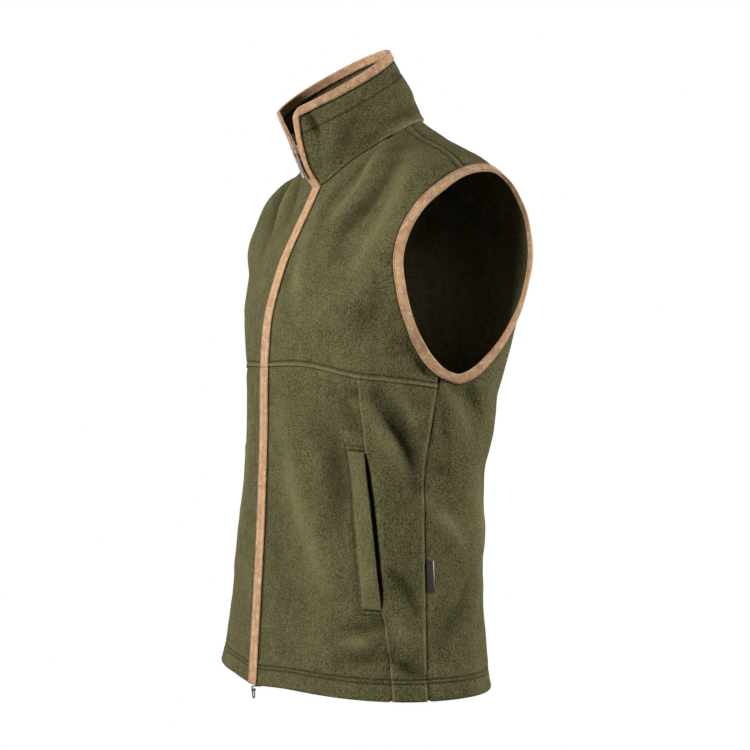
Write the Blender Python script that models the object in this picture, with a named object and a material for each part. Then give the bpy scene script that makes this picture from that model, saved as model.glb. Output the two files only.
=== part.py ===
"""A fleece gilet with a stand collar, a two-way zip and suede edge binding.

It keeps the form it has when worn, with no wearer inside. Heights in the tables are
measured up from the hem. +X is the wearer's left and -Y is the front.
"""

from collections import namedtuple

import bpy
import bmesh
import numpy as np

# Cloth and leather
FLEECE = 0.0024
SUEDE = 0.0009
SEAM_GAP = 0.0003
HEM_TURN = 0.020
BINDING_FACE = 0.0097
NOSE = SEAM_GAP + SUEDE
CUT_X = NOSE + 0.0005
STITCH_SET_IN = 0.04

# The middle of the line between the two shoulders is the origin
SHOULDER_HEIGHT = 0.627
SHOULDER_Y = 0.030

# Sections of the worn torso, from the hem up. A row gives the half width, how far the
# front and the back lie from the side-to-side axis, where the widest point lies and
# how square the front and back halves of the section are (2 is an ellipse).
Section = namedtuple("Section", "height half_width front back side_y front_power back_power")
SECTIONS = [
    Section(-0.010, 0.236, 0.1370, 0.126, -0.012, 2.25, 2.3),
    Section(0.030, 0.228, 0.1345, 0.121, -0.012, 2.05, 2.3),
    Section(0.090, 0.218, 0.1310, 0.119, -0.012, 1.92, 2.3),
    Section(0.160, 0.210, 0.1270, 0.121, -0.010, 1.85, 2.3),
    Section(0.230, 0.206, 0.1240, 0.128, -0.008, 1.82, 2.3),
    Section(0.300, 0.208, 0.1220, 0.139, -0.004, 1.82, 2.4),
    Section(0.360, 0.214, 0.1215, 0.143, 0.002, 1.82, 2.6),
    Section(0.415, 0.228, 0.1180, 0.144, 0.015, 1.95, 3.0),
    Section(0.485, 0.240, 0.1000, 0.147, 0.034, 2.05, 3.8),
    Section(0.535, 0.242, 0.0775, 0.141, 0.042, 2.35, 3.4),
    Section(0.572, 0.237, 0.0588, 0.129, 0.046, 2.45, 2.8),
    Section(0.600, 0.210, 0.0460, 0.114, 0.047, 2.25, 2.4),
    Section(0.618, 0.176, 0.0360, 0.110, 0.045, 2.10, 2.2),
    Section(0.6295, 0.148, 0.0260, 0.104, 0.043, 2.00, 2.1),
    Section(0.6405, 0.120, 0.0140, 0.098, 0.041, 2.00, 2.0),
    Section(0.6545, 0.091, -0.0110, 0.090, 0.039, 2.00, 2.0),
    Section(0.670, 0.060, -0.0260, 0.078, 0.038, 2.00, 2.0),
    Section(0.700, 0.012, -0.0340, 0.046, 0.038, 2.00, 2.0),
]

# The armhole's stitch line seen from the side: four quarters of rounded outline
ARMHOLE_FRONT_Y = -0.0502
ARMHOLE_BACK_Y = 0.1240
ARMHOLE_TOP = (0.0615, 0.6008)
ARMHOLE_FOOT = (0.0253, 0.3509)
ARMHOLE_FRONT_HEIGHT = 0.473
ARMHOLE_BACK_HEIGHT = 0.488
QUARTER_POWERS = {"foot_front": 2.1, "front_top": 2.05, "back_top": 2.0, "foot_back": 1.55}

# Seams, each as a short table
Level = namedtuple("Level", "height across")
SIDE_SEAM_Y = [
    Level(-0.010, -0.0300), Level(0.050, -0.0255), Level(0.110, -0.0218), Level(0.170, -0.0195),
    Level(0.230, -0.0185), Level(0.290, -0.0125), Level(0.3453, -0.0048), Level(0.370, 0.0005),
]
POCKET_SEAM_X = [
    Level(-0.010, 0.2190), Level(0.050, 0.2025), Level(0.100, 0.1900), Level(0.160, 0.1785),
    Level(0.220, 0.1693), Level(0.280, 0.1617), Level(0.360, 0.1532),
]
CHEST_SEAM_FALL = [
    Level(0.00, 0.3700), Level(0.18, 0.3712), Level(0.30, 0.3690), Level(0.42, 0.3630),
    Level(0.54, 0.3570), Level(0.75, 0.3520), Level(1.00, 0.3453),
]
CHEST_SEAM_SIDE = 0.3453
SHOULDER_SEAM_Y = 0.029

# The neck seam in plan is an ellipse
NECK_HALF_WIDTH = 0.086
NECK_HALF_DEPTH = 0.065
NECK_Y = 0.013

# The collar's top edge in plan, and its slope from the nape down to the throat
COLLAR_HALF_WIDTH = 0.079
COLLAR_FRONT = 0.068
COLLAR_BACK = 0.065
COLLAR_Y = -0.030
COLLAR_FRONT_POWER = 1.70
COLLAR_MID_HEIGHT = 0.7385
COLLAR_TILT = 0.642
COLLAR_TILT_Y = 0.0055
COLLAR_SPLAY = 0.021
COLLAR_ROLL = 0.0045
ROLL_PEAK = 6.75
COLLAR_WAVES = 95.0
COLLAR_WAVE_DEPTH = 0.0016
COLLAR_SPLAY_POWER = 2.2
COLLAR_FACE_NARROWING = 0.08

# The hem hangs lower at the zip
HEM_DIP = 0.006
HEM_DIP_TURN = 0.22
HEM_DIP_TO = 0.060

# Rows of the lower panels, as heights on the pocket seam
POCKET_BOTTOM = 0.098
POCKET_TOP = 0.274
LOWER_ROWS = [0.0, HEM_TURN, HEM_TURN + 0.0035, 0.042, 0.060, 0.079]
LOWER_ROWS += [POCKET_BOTTOM + (POCKET_TOP - POCKET_BOTTOM) * i / 9 for i in range(10)]
LOWER_ROWS += [0.294, 0.314, 0.334, 0.354]
STRAIGHT_ROWS_TO = 0.280
BACK_FOOT_HEIGHT = 0.325
BACK_FOOT_POWER = 1.3

# Cells across and up each panel
LOWER_COLUMNS = 7
SIDE_COLUMNS = 6
NAPE_COLUMNS = 6
ARMPIT_COLUMNS = 2
UPPER_ROWS = 14
BACK_ROWS = 18
COLLAR_ROWS = 5
EVEN_ROUNDS = 12

# Pocket
WELT_WIDTH = 0.022
WELT_LIFT = 0.0022
MOUTH_DEPTH = 0.0052
BAG_SHEET = 0.0010
BAG_SAG = 0.0023
BAG_FROM_COLUMN = 2
MOUTH_BACK = 0.0020
MOUTH_FULLNESS = 0.6
WELT_OVER = 0.0010

# Side label
LABEL_FROM = 0.0014
LABEL_WIDTH = 0.009
LABEL_THICKNESS = 0.0014
LABEL_LIFT = 0.0004

# The label's points up the side seam: rows above the pocket's lower end, and the share of the next
LABEL_ROWS = [(0, 0.07), (0, 0.5), (1, 0.0), (1, 0.5), (1, 0.88)]

# Zip tape: (distance from the middle, depth behind the outer cloth)
TAPE_SECTION = [
    (0.00025, 0.0042), (0.0120, 0.0042), (0.0120, 0.0050),
    (0.0030, 0.0050), (0.0030, 0.0065), (0.00025, 0.0065),
]
TAPE_START = 0.0125
TAPE_COLLAR_ROWS = 4

# Top slider, as (outward, upward) for the hook and (across, upward) for the body
SLIDER_HEIGHT = 0.630
SLIDER_BEHIND = 0.0020
SLIDER_HALF_THICKNESS = 0.0016
HOOK_HALF_WIDTH = 0.0012
SLIDER_BODY = [
    (-0.0026, -0.0065), (0.0026, -0.0065), (0.0042, 0.0010), (0.0042, 0.0055), (0.0032, 0.0065),
    (-0.0032, 0.0065), (-0.0042, 0.0055), (-0.0042, 0.0010),
]
SLIDER_HOOK = [
    (-0.0016, 0.0055), (0.0030, 0.0055), (0.0072, 0.0035), (0.0076, -0.0022), (0.0062, -0.0045),
    (0.0012, -0.0045), (0.0012, -0.0032), (0.0054, -0.0032), (0.0060, -0.0020), (0.0058, 0.0025),
    (0.0026, 0.0041), (-0.0016, 0.0041),
]
PULL_AXIS = (0.0042, -0.0019)
PULL_LEAN = 0.37
PULL_HALF_THICKNESS = 0.0008
PULL_HOLE_HALF_DEPTH = 0.003
PULL_OUTLINE = [
    (-0.0027, -0.0006), (0.0027, -0.0006), (0.0035, 0.0004), (0.0035, 0.0290), (0.0024, 0.0304),
    (-0.0024, 0.0304), (-0.0035, 0.0290), (-0.0035, 0.0004),
]
PULL_HOLE = [(-0.0019, 0.0006), (0.0019, 0.0006), (0.0019, 0.0062), (-0.0019, 0.0062)]

# Bottom slider and its ring, measured from the outer cloth at the hem
BOTTOM_BODY = [(-0.0030, -0.0032), (0.0030, -0.0032), (0.0042, 0.0), (0.0042, 0.0085), (0.0026, 0.0115),
               (-0.0026, 0.0115), (-0.0042, 0.0085), (-0.0042, 0.0)]
BOTTOM_HOOK = [
    (-0.0100, -0.0030), (-0.0100, -0.0018), (0.0012, -0.0018), (0.0012, -0.0082), (-0.0036, -0.0082),
    (-0.0036, -0.0050), (-0.0026, -0.0050), (-0.0026, -0.0070), (0.0002, -0.0070), (0.0002, -0.0030),
]
BOTTOM_BEHIND = 0.0087
BOTTOM_HALF_THICKNESS = 0.0014
RING_AXIS = (-0.0012, -0.0058)
RING_HALF_WIDTH = 0.0027
RING_LENGTH = 0.0104
RING_WIRE = 0.0008
RING_CORNER = 0.0008

# Folds of the cloth, as soft ridges (+) and troughs (-) between two places on it
Fold = namedtuple("Fold", "side turn_a height_a turn_b height_b half_width depth")
LEFT, RIGHT = 1, -1
FOLDS = [
    Fold(LEFT, 0.89, 0.637, 0.41, 0.546, 0.015, 0.0030),
    Fold(LEFT, 0.64, 0.603, 0.48, 0.533, 0.013, -0.0030),
    Fold(LEFT, 1.01, 0.595, 0.76, 0.468, 0.017, 0.0034),
    Fold(LEFT, 0.41, 0.338, 0.65, 0.253, 0.013, -0.0030),
    Fold(LEFT, 1.07, 0.339, 1.36, 0.277, 0.014, -0.0055),
    Fold(LEFT, 0.96, 0.338, 1.18, 0.271, 0.013, 0.0030),
    Fold(LEFT, 1.25, 0.385, 1.43, 0.369, 0.017, -0.0070),
    Fold(LEFT, 1.24, 0.121, 1.35, 0.084, 0.013, -0.0040),
    Fold(LEFT, 1.54, 0.212, 1.73, 0.181, 0.014, 0.0035),
    Fold(LEFT, 1.68, 0.339, 1.92, 0.310, 0.015, -0.0045),
    Fold(LEFT, 1.64, 0.299, 1.85, 0.242, 0.015, 0.0030),
    Fold(LEFT, 2.10, 0.520, 2.45, 0.430, 0.022, -0.0035),
    Fold(LEFT, 2.30, 0.250, 2.85, 0.262, 0.022, -0.0035),
    Fold(LEFT, 2.35, 0.180, 2.75, 0.140, 0.020, 0.0030),
    Fold(RIGHT, 0.80, 0.595, 0.72, 0.520, 0.026, 0.0075),
    Fold(RIGHT, 0.55, 0.590, 0.45, 0.545, 0.016, -0.0030),
    Fold(RIGHT, 0.66, 0.392, 0.68, 0.356, 0.030, -0.0105),
    Fold(RIGHT, 0.68, 0.310, 0.70, 0.245, 0.045, -0.0060),
    Fold(RIGHT, 1.10, 0.335, 1.38, 0.262, 0.015, -0.0050),
    Fold(RIGHT, 1.27, 0.390, 1.44, 0.371, 0.017, -0.0060),
    Fold(RIGHT, 1.20, 0.105, 1.36, 0.070, 0.014, -0.0035),
    Fold(RIGHT, 1.70, 0.335, 1.98, 0.296, 0.016, -0.0045),
    Fold(RIGHT, 1.60, 0.240, 1.82, 0.190, 0.015, 0.0035),
    Fold(RIGHT, 2.00, 0.545, 2.40, 0.470, 0.022, -0.0030),
    Fold(RIGHT, 2.20, 0.225, 2.80, 0.236, 0.022, -0.0035),
    Fold(RIGHT, 2.45, 0.150, 2.70, 0.105, 0.020, 0.0030),
]

Material = namedtuple("Material", "colour roughness metallic")
MATERIALS = {
    "fleece": Material((0.105, 0.105, 0.048), 0.95, 0.0),
    "suede": Material((0.55, 0.30, 0.17), 0.85, 0.0),
    "zip_tape": Material((0.09, 0.055, 0.03), 0.80, 0.0),
    "label_tape": Material((0.06, 0.04, 0.025), 0.80, 0.0),
    "silver_zinc": Material((0.62, 0.60, 0.57), 0.35, 1.0),
    "gunmetal_zinc": Material((0.10, 0.10, 0.10), 0.40, 1.0),
}


def smooth_slopes(x, y):
    """Slopes of a curve through the rows that never overshoots them."""
    step = np.diff(x)
    rise = np.diff(y, axis=0) / step[:, None]
    slope = np.zeros_like(y)
    weight_a = (2 * step[1:] + step[:-1])[:, None]
    weight_b = (step[1:] + 2 * step[:-1])[:, None]
    same = rise[:-1] * rise[1:] > 0
    before = np.where(same, rise[:-1], 1.0)
    after = np.where(same, rise[1:], 1.0)
    mean = (weight_a + weight_b) / (weight_a / before + weight_b / after)
    slope[1:-1] = np.where(same, mean, 0.0)
    slope[0] = rise[0]
    slope[-1] = rise[-1]
    return slope


class Curve:
    """Reads a table's columns smoothly at any value of its first column."""

    def __init__(self, rows):
        rows = np.array(rows, float)
        self.x = rows[:, 0]
        self.y = rows[:, 1:]
        self.slope = smooth_slopes(self.x, self.y)

    def __call__(self, value):
        value = np.clip(np.asarray(value, float), self.x[0], self.x[-1])
        i = np.clip(np.searchsorted(self.x, value, side="right") - 1, 0, len(self.x) - 2)
        step = self.x[i + 1] - self.x[i]
        s = ((value - self.x[i]) / step)[..., None]
        step = step[..., None]
        start = (1 + 2 * s) * (1 - s) ** 2 * self.y[i] + s * (1 - s) ** 2 * step * self.slope[i]
        end = s * s * (3 - 2 * s) * self.y[i + 1] + s * s * (s - 1) * step * self.slope[i + 1]
        return start + end


TORSO = Curve(SECTIONS)
SIDE_SEAM = Curve(SIDE_SEAM_Y)
POCKET_SEAM = Curve(POCKET_SEAM_X)
CHEST_SEAM = Curve(CHEST_SEAM_FALL)


def half_section(height, back):
    """Half width, depth, widest point and power of the front or back half of a section."""
    row = TORSO(height)
    half_width, front, rear, side_y, front_power, back_power = (row[..., k] for k in range(6))
    depth = np.where(back, rear - side_y, front + side_y)
    power = np.where(back, back_power, front_power)
    return half_width, depth, side_y, power


def skin(turn, height):
    """The smooth torso: turn is 0 at the centre front, pi / 2 at the side, pi at the centre back."""
    turn, height = np.broadcast_arrays(np.asarray(turn, float), np.asarray(height, float))
    half_width, depth, side_y, power = half_section(height, turn >= np.pi / 2)
    across, along = np.abs(np.sin(turn)), np.abs(np.cos(turn))
    reach = (across**power + along**power) ** (-1 / power)
    x = half_width * reach * np.sin(turn)
    y = side_y - depth * reach * np.cos(turn)
    return np.stack([x, y, height], axis=-1)


def turn_at_y(y, height):
    """Where the side view's point lies round the torso."""
    side_y = TORSO(height)[..., 3]
    half_width, depth, side_y, power = half_section(height, y >= side_y)
    along = np.clip(np.abs(y - side_y) / depth, 0, 1)
    across = (1 - along**power) ** (1 / power)
    return np.arctan2(across, np.sign(side_y - y) * along)


def turn_at_x(x, height):
    """Where the front view's point lies round the torso's front."""
    half_width, depth, side_y, power = half_section(height, False)
    across = np.clip(x / half_width, 0, 1)
    along = (1 - across**power) ** (1 / power)
    return np.arctan2(across, along)


def drop(x, y):
    """Turn and height of the point of the shoulders under a point of the plan."""
    low, high = np.full(np.shape(x), 0.55), np.full(np.shape(x), 0.70)
    for _ in range(40):
        height = (low + high) / 2
        side_y = TORSO(height)[..., 3]
        half_width, depth, side_y, power = half_section(height, y >= side_y)
        inside = (x / half_width) ** power + (np.abs(y - side_y) / depth) ** power < 1
        low = np.where(inside, height, low)
        high = np.where(inside, high, height)
    half_width, depth, side_y, power = half_section(low, y >= TORSO(low)[..., 3])
    turn = np.arctan2(x / half_width, (side_y - y) / depth)
    return np.stack([turn, low], axis=-1)


def unit(vectors):
    return vectors / np.linalg.norm(vectors, axis=-1, keepdims=True)


def slope_normal(surface, u, v, step_u, step_v):
    """Outward normal of a surface by small steps along it."""
    along = surface(u + step_u, v) - surface(u - step_u, v)
    up = surface(u, v + step_v) - surface(u, v - step_v)
    return unit(np.cross(along, up))


def fold_paths():
    """Each fold's line on the smooth torso, as seven points."""
    share = np.linspace(0, 1, 7)
    for fold in FOLDS:
        turn = fold.turn_a + (fold.turn_b - fold.turn_a) * share
        height = fold.height_a + (fold.height_b - fold.height_a) * share
        yield fold, skin(turn, height) * (fold.side, 1, 1)


FOLD_PATHS = list(fold_paths())


def fold_height(points):
    """How far the folds lift the cloth at these points."""
    lift = np.zeros(points.shape[:-1])
    for fold, path in FOLD_PATHS:
        nearest = np.full(points.shape[:-1], np.inf)
        for start, end in zip(path[:-1], path[1:]):
            run = end - start
            share = np.clip((points - start) @ run / (run @ run), 0, 1)
            away = np.linalg.norm(points - start - share[..., None] * run, axis=-1)
            nearest = np.minimum(nearest, away)
        lift += fold.depth * np.exp(-((nearest / fold.half_width) ** 2))
    return lift


def cloth(turn, height, side):
    """Outer face of the fleece on one side, with its folds."""
    flat = skin(turn, height)
    out = slope_normal(skin, turn, height, 2e-3, 1e-3)
    mirror = np.array([side, 1, 1])
    flat, out = flat * mirror, out * mirror
    return flat + out * fold_height(flat)[..., None]


def cloth_normal(turn, height, side):
    def face(u, v):
        return cloth(u, v, side)

    return side * slope_normal(face, turn, height, 2e-3, 1e-3)


def evenly(path, count, surface=skin):
    """Resamples a line of (turn, height) into equal lengths on the torso."""
    points = surface(path[:, 0], path[:, 1])
    run = np.r_[0, np.cumsum(np.linalg.norm(np.diff(points, axis=0), axis=1))]
    at = np.linspace(0, run[-1], count + 1)
    return np.stack([np.interp(at, run, path[:, k]) for k in range(path.shape[1])], axis=-1)


def quarter(centre, reach_y, reach_height, power, start, end, count=60):
    """Side-view points of a quarter of the armhole between two angles from its vertical."""
    angle = np.linspace(start, end, count)
    across, up = np.abs(np.sin(angle)), np.abs(np.cos(angle))
    size = (across**power + up**power) ** (-1 / power)
    y = centre[0] + reach_y * size * across
    height = centre[1] + reach_height * size * up
    return np.stack([y, height], axis=-1)


def armhole_quarter(name, start=0.0, end=np.pi / 2):
    """Points run from the armhole's foot or top at angle 0 to its front or back at pi / 2."""
    foot, back = name.startswith("foot"), "back" in name
    side_height = ARMHOLE_BACK_HEIGHT if back else ARMHOLE_FRONT_HEIGHT
    tip_y, tip_height = ARMHOLE_FOOT if foot else ARMHOLE_TOP
    side_y = ARMHOLE_BACK_Y if back else ARMHOLE_FRONT_Y
    return quarter((tip_y, side_height), side_y - tip_y, tip_height - side_height,
                   QUARTER_POWERS[name], start, end)


def armhole_front():
    """The armhole's front edge from the side seam up to the shoulder seam, seen from the side."""
    line = np.concatenate([armhole_quarter("foot_front"), armhole_quarter("front_top")[::-1][1:]])
    seam = SIDE_SEAM(line[:, 1])[:, 0]
    start = np.argmax(line[:, 0] < seam)
    end = np.argmax((line[:, 0] > SHOULDER_SEAM_Y) & (line[:, 1] > 0.5))
    return line[start:end + 1]


def armhole_back_foot():
    """From the side seam to the armhole's lowest point."""
    line = armhole_quarter("foot_front")[::-1]
    seam = SIDE_SEAM(line[:, 1])[:, 0]
    start = len(line) - 1 - np.argmax((line[:, 0] < seam)[::-1])
    return line[start:]


def armhole_back():
    """From the armhole's lowest point round the back and over the top to the shoulder seam."""
    top = armhole_quarter("front_top")
    end = np.argmax(top[:, 0] < SHOULDER_SEAM_Y)
    back = armhole_quarter("back_top")[::-1][1:]
    return np.concatenate([armhole_quarter("foot_back"), back, top[1:end + 1]])


def side_view(line):
    """Side-view points as (turn, height)."""
    return np.stack([turn_at_y(line[:, 0], line[:, 1]), line[:, 1]], axis=-1)


def skin_miss(points):
    """How far outside the smooth torso points lie, as a share of its section."""
    x, y, height = points[..., 0], points[..., 1], points[..., 2]
    half_width, depth, side_y, power = half_section(height, y >= TORSO(height)[..., 3])
    across, along = np.abs(x) / half_width, np.abs(y - side_y) / depth
    return (across**power + along**power) ** (1 / power) - 1


def onto_skin(points):
    """(turn, height) of the nearest places on the smooth torso."""
    for _ in range(6):
        miss = skin_miss(points)
        slope = np.stack([skin_miss(points + step) - miss for step in 1e-5 * np.eye(3)], axis=-1) / 1e-5
        points = points - slope * (miss / (slope**2).sum(axis=-1))[..., None]
    x, y, height = points[..., 0], points[..., 1], points[..., 2]
    half_width, depth, side_y, power = half_section(height, y >= TORSO(height)[..., 3])
    return np.stack([np.arctan2(x / half_width, (side_y - y) / depth), height], axis=-1)


def shares(edge):
    """How far along each point of an edge lies, from 0 to 1."""
    steps = np.linalg.norm(np.diff(skin(edge[:, 0], edge[:, 1]), axis=0), axis=1)
    run = np.r_[0, np.cumsum(steps)]
    return run / run[-1]


def coons(edges, up, across):
    """Blends four edges (bottom, top, left, right) into a grid of rows and columns."""
    bottom, top, left, right = edges
    up, across = np.broadcast_to(up, across.shape)[..., None], across[..., None]
    rows = (1 - up) * bottom[None] + up * top[None]
    columns = (1 - across) * left[:, None] + across * right[:, None]
    corners = (1 - up) * ((1 - across) * bottom[0] + across * bottom[-1])
    corners = corners + up * ((1 - across) * top[0] + across * top[-1])
    return rows + columns - corners


def panel_grid(bottom, top, left, right, rounds=0):
    """Fills four edges, given as (turn, height) points. Rounds even the cells out on the torso."""
    edges = (bottom, top, left, right)
    up = ((shares(left) + shares(right)) / 2)[:, None]
    across = (1 - up) * shares(bottom)[None] + up * shares(top)[None]
    if not rounds:
        grid = coons(edges, up, across)
    else:
        points = coons([skin(edge[:, 0], edge[:, 1]) for edge in edges], up, across)
        for _ in range(rounds):
            middle = (points[:-2, 1:-1] + points[2:, 1:-1] + points[1:-1, :-2] + points[1:-1, 2:]) / 4
            place = onto_skin(middle)
            points[1:-1, 1:-1] = skin(place[..., 0], place[..., 1])
        grid = onto_skin(points)
    grid[0], grid[-1], grid[:, 0], grid[:, -1] = bottom, top, left, right
    return grid


def dipped(grid):
    """Lets the hem hang a little lower at the zip."""
    turn, height = grid[..., 0], grid[..., 1]
    share = np.exp(-((turn / HEM_DIP_TURN) ** 2)) * np.clip(1 - height / HEM_DIP_TO, 0, 1)
    return np.stack([turn, height - HEM_DIP * share], axis=-1)


def seam_rows(top, straight_to=STRAIGHT_ROWS_TO):
    """Row heights on an upright seam whose upper end lies at this height."""
    rows = np.array(LOWER_ROWS)
    full = LOWER_ROWS[-1]
    above = straight_to + (rows - straight_to) * (top - straight_to) / (full - straight_to)
    return np.where(rows <= straight_to, rows, above)


def chest_seam(share):
    """Height of the chest seam at a share of the way from the zip to the side seam."""
    return CHEST_SEAM(share)[..., 0]


def crossing(edge_turn):
    """Height where an upright seam meets the chest seam."""
    low, high = 0.30, 0.40
    side_turn = float(turn_at_y(CHEST_SIDE_Y, np.array(CHEST_SEAM_SIDE)))
    for _ in range(40):
        height = (low + high) / 2
        if height < float(chest_seam(float(edge_turn(np.array(height))) / side_turn)):
            low = height
        else:
            high = height
    return low


CHEST_SIDE_Y = float(SIDE_SEAM(CHEST_SEAM_SIDE)[..., 0])


def zip_turn(height):
    return turn_at_x(np.full_like(height, CUT_X + BINDING_FACE), height)


def pocket_turn(height):
    return turn_at_x(POCKET_SEAM(height)[..., 0], height)


def side_turn(height):
    return turn_at_y(SIDE_SEAM(height)[..., 0], height)


def upright(turn_of, rows):
    return np.stack([turn_of(rows), rows], axis=-1)


def level(start, end, count, height_of):
    """A line round the torso between two turns, equal steps apart on the cloth."""
    turn = np.linspace(start, end, 80)
    return evenly(np.stack([turn, height_of(turn)], axis=-1), count)


class Layout:
    """The pattern pieces' edges and grids on one half of the torso, as (turn, height)."""

    def __init__(self):
        zip_top, pocket_top = crossing(zip_turn), crossing(pocket_turn)
        zip_side = upright(zip_turn, seam_rows(zip_top))
        pocket = upright(pocket_turn, seam_rows(pocket_top))
        side = upright(side_turn, seam_rows(CHEST_SEAM_SIDE))
        side_end = side[-1, 0]

        def seam_height(turn):
            return chest_seam(turn / side_end)

        def hem(turn):
            return np.zeros_like(turn)

        lower_hem = self.welt_columns(level(zip_side[0, 0], pocket[0, 0], 200, hem))
        lower_top = self.welt_columns(level(zip_side[-1, 0], pocket[-1, 0], 200, seam_height))
        side_top = level(pocket[-1, 0], side_end, SIDE_COLUMNS, seam_height)
        side_hem = level(pocket[0, 0], side[0, 0], SIDE_COLUMNS, hem)
        self.lower = dipped(panel_grid(lower_hem, lower_top, zip_side, pocket))
        self.side = panel_grid(side_hem, side_top, pocket, side)

        front_edge = side_view(armhole_front())
        back_foot = evenly(side_view(armhole_back_foot()), ARMPIT_COLUMNS)
        back_edge = evenly(side_view(armhole_back()), BACK_ROWS)
        front_edge = evenly(front_edge, UPPER_ROWS)
        back_foot[0] = front_edge[0]
        back_foot[-1] = back_edge[0]
        back_edge[-1] = front_edge[-1]
        self.back_foot = back_foot

        angle = np.linspace(NECK_STITCH_ANGLE, NECK_SEAM_ANGLE, LOWER_COLUMNS + 1)
        neck_front = neck_ring(angle)
        angle = np.linspace(NECK_SEAM_ANGLE, np.pi, NAPE_COLUMNS + 1)
        neck_back = neck_ring(angle)
        neck_back[-1, 0] = np.pi
        shoulder = self.shoulder_seam(neck_front[-1], front_edge[-1])

        upper_bottom = np.concatenate([lower_top, side_top[1:]])
        upper_top = np.concatenate([neck_front, shoulder[1:]])
        upper_left = evenly(upright(zip_turn, np.linspace(zip_top, neck_front[0, 1], 60)), UPPER_ROWS + 1)
        upper_left[-1] = neck_front[0]
        upper_right = np.concatenate([side[-1:], front_edge])
        self.upper = panel_grid(upper_bottom, upper_top, upper_left, upper_right, EVEN_ROUNDS)

        lower_side = np.concatenate([side, front_edge[:1]])
        middle_rows = seam_rows(BACK_FOOT_HEIGHT, HEM_TURN + 0.0035)
        middle_rows = np.r_[middle_rows * (1 - 1 / len(middle_rows)), BACK_FOOT_HEIGHT]
        middle_rows[:3] = LOWER_ROWS[:3]
        middle = np.stack([np.full_like(middle_rows, np.pi), middle_rows], axis=-1)
        foot_rise = (BACK_FOOT_HEIGHT - back_foot[-1, 1]) * np.linspace(0, 1, 60) ** BACK_FOOT_POWER
        foot_line = evenly(np.stack([
            np.linspace(back_foot[-1, 0], np.pi, 60),
            back_foot[-1, 1] + foot_rise,
        ], axis=-1), SIDE_COLUMNS + NAPE_COLUMNS)
        back_top = np.concatenate([back_foot, foot_line[1:]])
        back_hem = level(side[0, 0], np.pi, len(back_top) - 1, hem)
        self.back_lower = panel_grid(back_hem, back_top, lower_side, middle)
        nape_rows = np.linspace(BACK_FOOT_HEIGHT, neck_back[-1, 1], BACK_ROWS + 1)
        nape = np.stack([np.full_like(nape_rows, np.pi), nape_rows], axis=-1)
        yoke_top = np.concatenate([shoulder[::-1], neck_back[1:]])
        self.back_upper = panel_grid(foot_line, yoke_top, back_edge, nape, EVEN_ROUNDS)

    @staticmethod
    def welt_columns(line):
        """Even columns, but for the last one, which the pocket welt covers."""
        points = skin(line[:, 0], line[:, 1])
        run = np.r_[0, np.cumsum(np.linalg.norm(np.diff(points, axis=0), axis=1))]
        at = np.r_[np.linspace(0, run[-1] - WELT_WIDTH, LOWER_COLUMNS), run[-1]]
        return np.stack([np.interp(at, run, line[:, k]) for k in range(2)], axis=-1)

    @staticmethod
    def shoulder_seam(inner, outer):
        """From the neck straight out to the armhole, seen from above."""
        start, end = skin(inner[0], inner[1]), skin(outer[0], outer[1])
        share = np.linspace(0, 1, 60)[:, None]
        plan = start[:2] + (end[:2] - start[:2]) * share
        line = drop(plan[:, 0], plan[:, 1])
        line[0], line[-1] = inner, outer
        return evenly(line, SIDE_COLUMNS)


def neck_ring(angle):
    """Where the neck seam lies on the torso, from the throat at 0 to the nape at pi."""
    x = NECK_HALF_WIDTH * np.sin(angle)
    y = NECK_Y - NECK_HALF_DEPTH * np.cos(angle)
    return drop(np.abs(x), y)


NECK_CUT_ANGLE = float(np.arcsin(CUT_X / NECK_HALF_WIDTH))
NECK_STITCH_ANGLE = float(np.arcsin((CUT_X + BINDING_FACE) / NECK_HALF_WIDTH))
NECK_SEAM_ANGLE = float(np.arccos((NECK_Y - SHOULDER_SEAM_Y) / NECK_HALF_DEPTH))


class Sheet:
    """The outer face of a cloth piece: points with their normals, joined by triangles."""

    def __init__(self):
        self.points, self.normals, self.triangles = [], [], []
        self.places = {}
        self.bound = {}

    def add(self, points, normals):
        """Indices of these points. A point that is there already keeps its index."""
        found = []
        for point, normal in zip(points.reshape(-1, 3), normals.reshape(-1, 3)):
            place = tuple(np.round(point, 7) + 0.0)
            if place not in self.places:
                self.places[place] = len(self.points)
                self.points.append(point)
                self.normals.append(normal)
            found.append(self.places[place])
        return np.array(found).reshape(points.shape[:-1])

    def grid(self, index):
        a, b = index[:-1, :-1].ravel(), index[:-1, 1:].ravel()
        c, d = index[1:, 1:].ravel(), index[1:, :-1].ravel()
        self.triangles += list(zip(a, b, c)) + list(zip(a, c, d))

    def strip(self, stitch, cut):
        """The allowance between a stitch line and the cut edge, which a binding covers."""
        self.triangles += list(zip(stitch[:-1], cut[1:], cut[:-1]))
        self.triangles += list(zip(stitch[:-1], stitch[1:], cut[1:]))
        self.bind(cut)

    def bind(self, cut):
        """Notes cut points in the order in which the binding meets them."""
        for point in cut:
            self.bound.setdefault(int(point), len(self.bound))

    def arrays(self):
        points, normals = np.array(self.points), np.array(self.normals)
        triangles = np.array(self.triangles)
        a, b, c = (points[triangles[:, k]] for k in range(3))
        out = normals[triangles].sum(axis=1)
        turned = (np.cross(b - a, c - a) * out).sum(axis=1) < 0
        triangles[turned] = triangles[turned][:, ::-1]
        return points, normals, triangles


def open_edges(triangles):
    edges = {(row[k], row[(k + 1) % 3]) for row in triangles.tolist() for k in range(3)}
    return [edge for edge in sorted(edges) if edge[::-1] not in edges]


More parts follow.
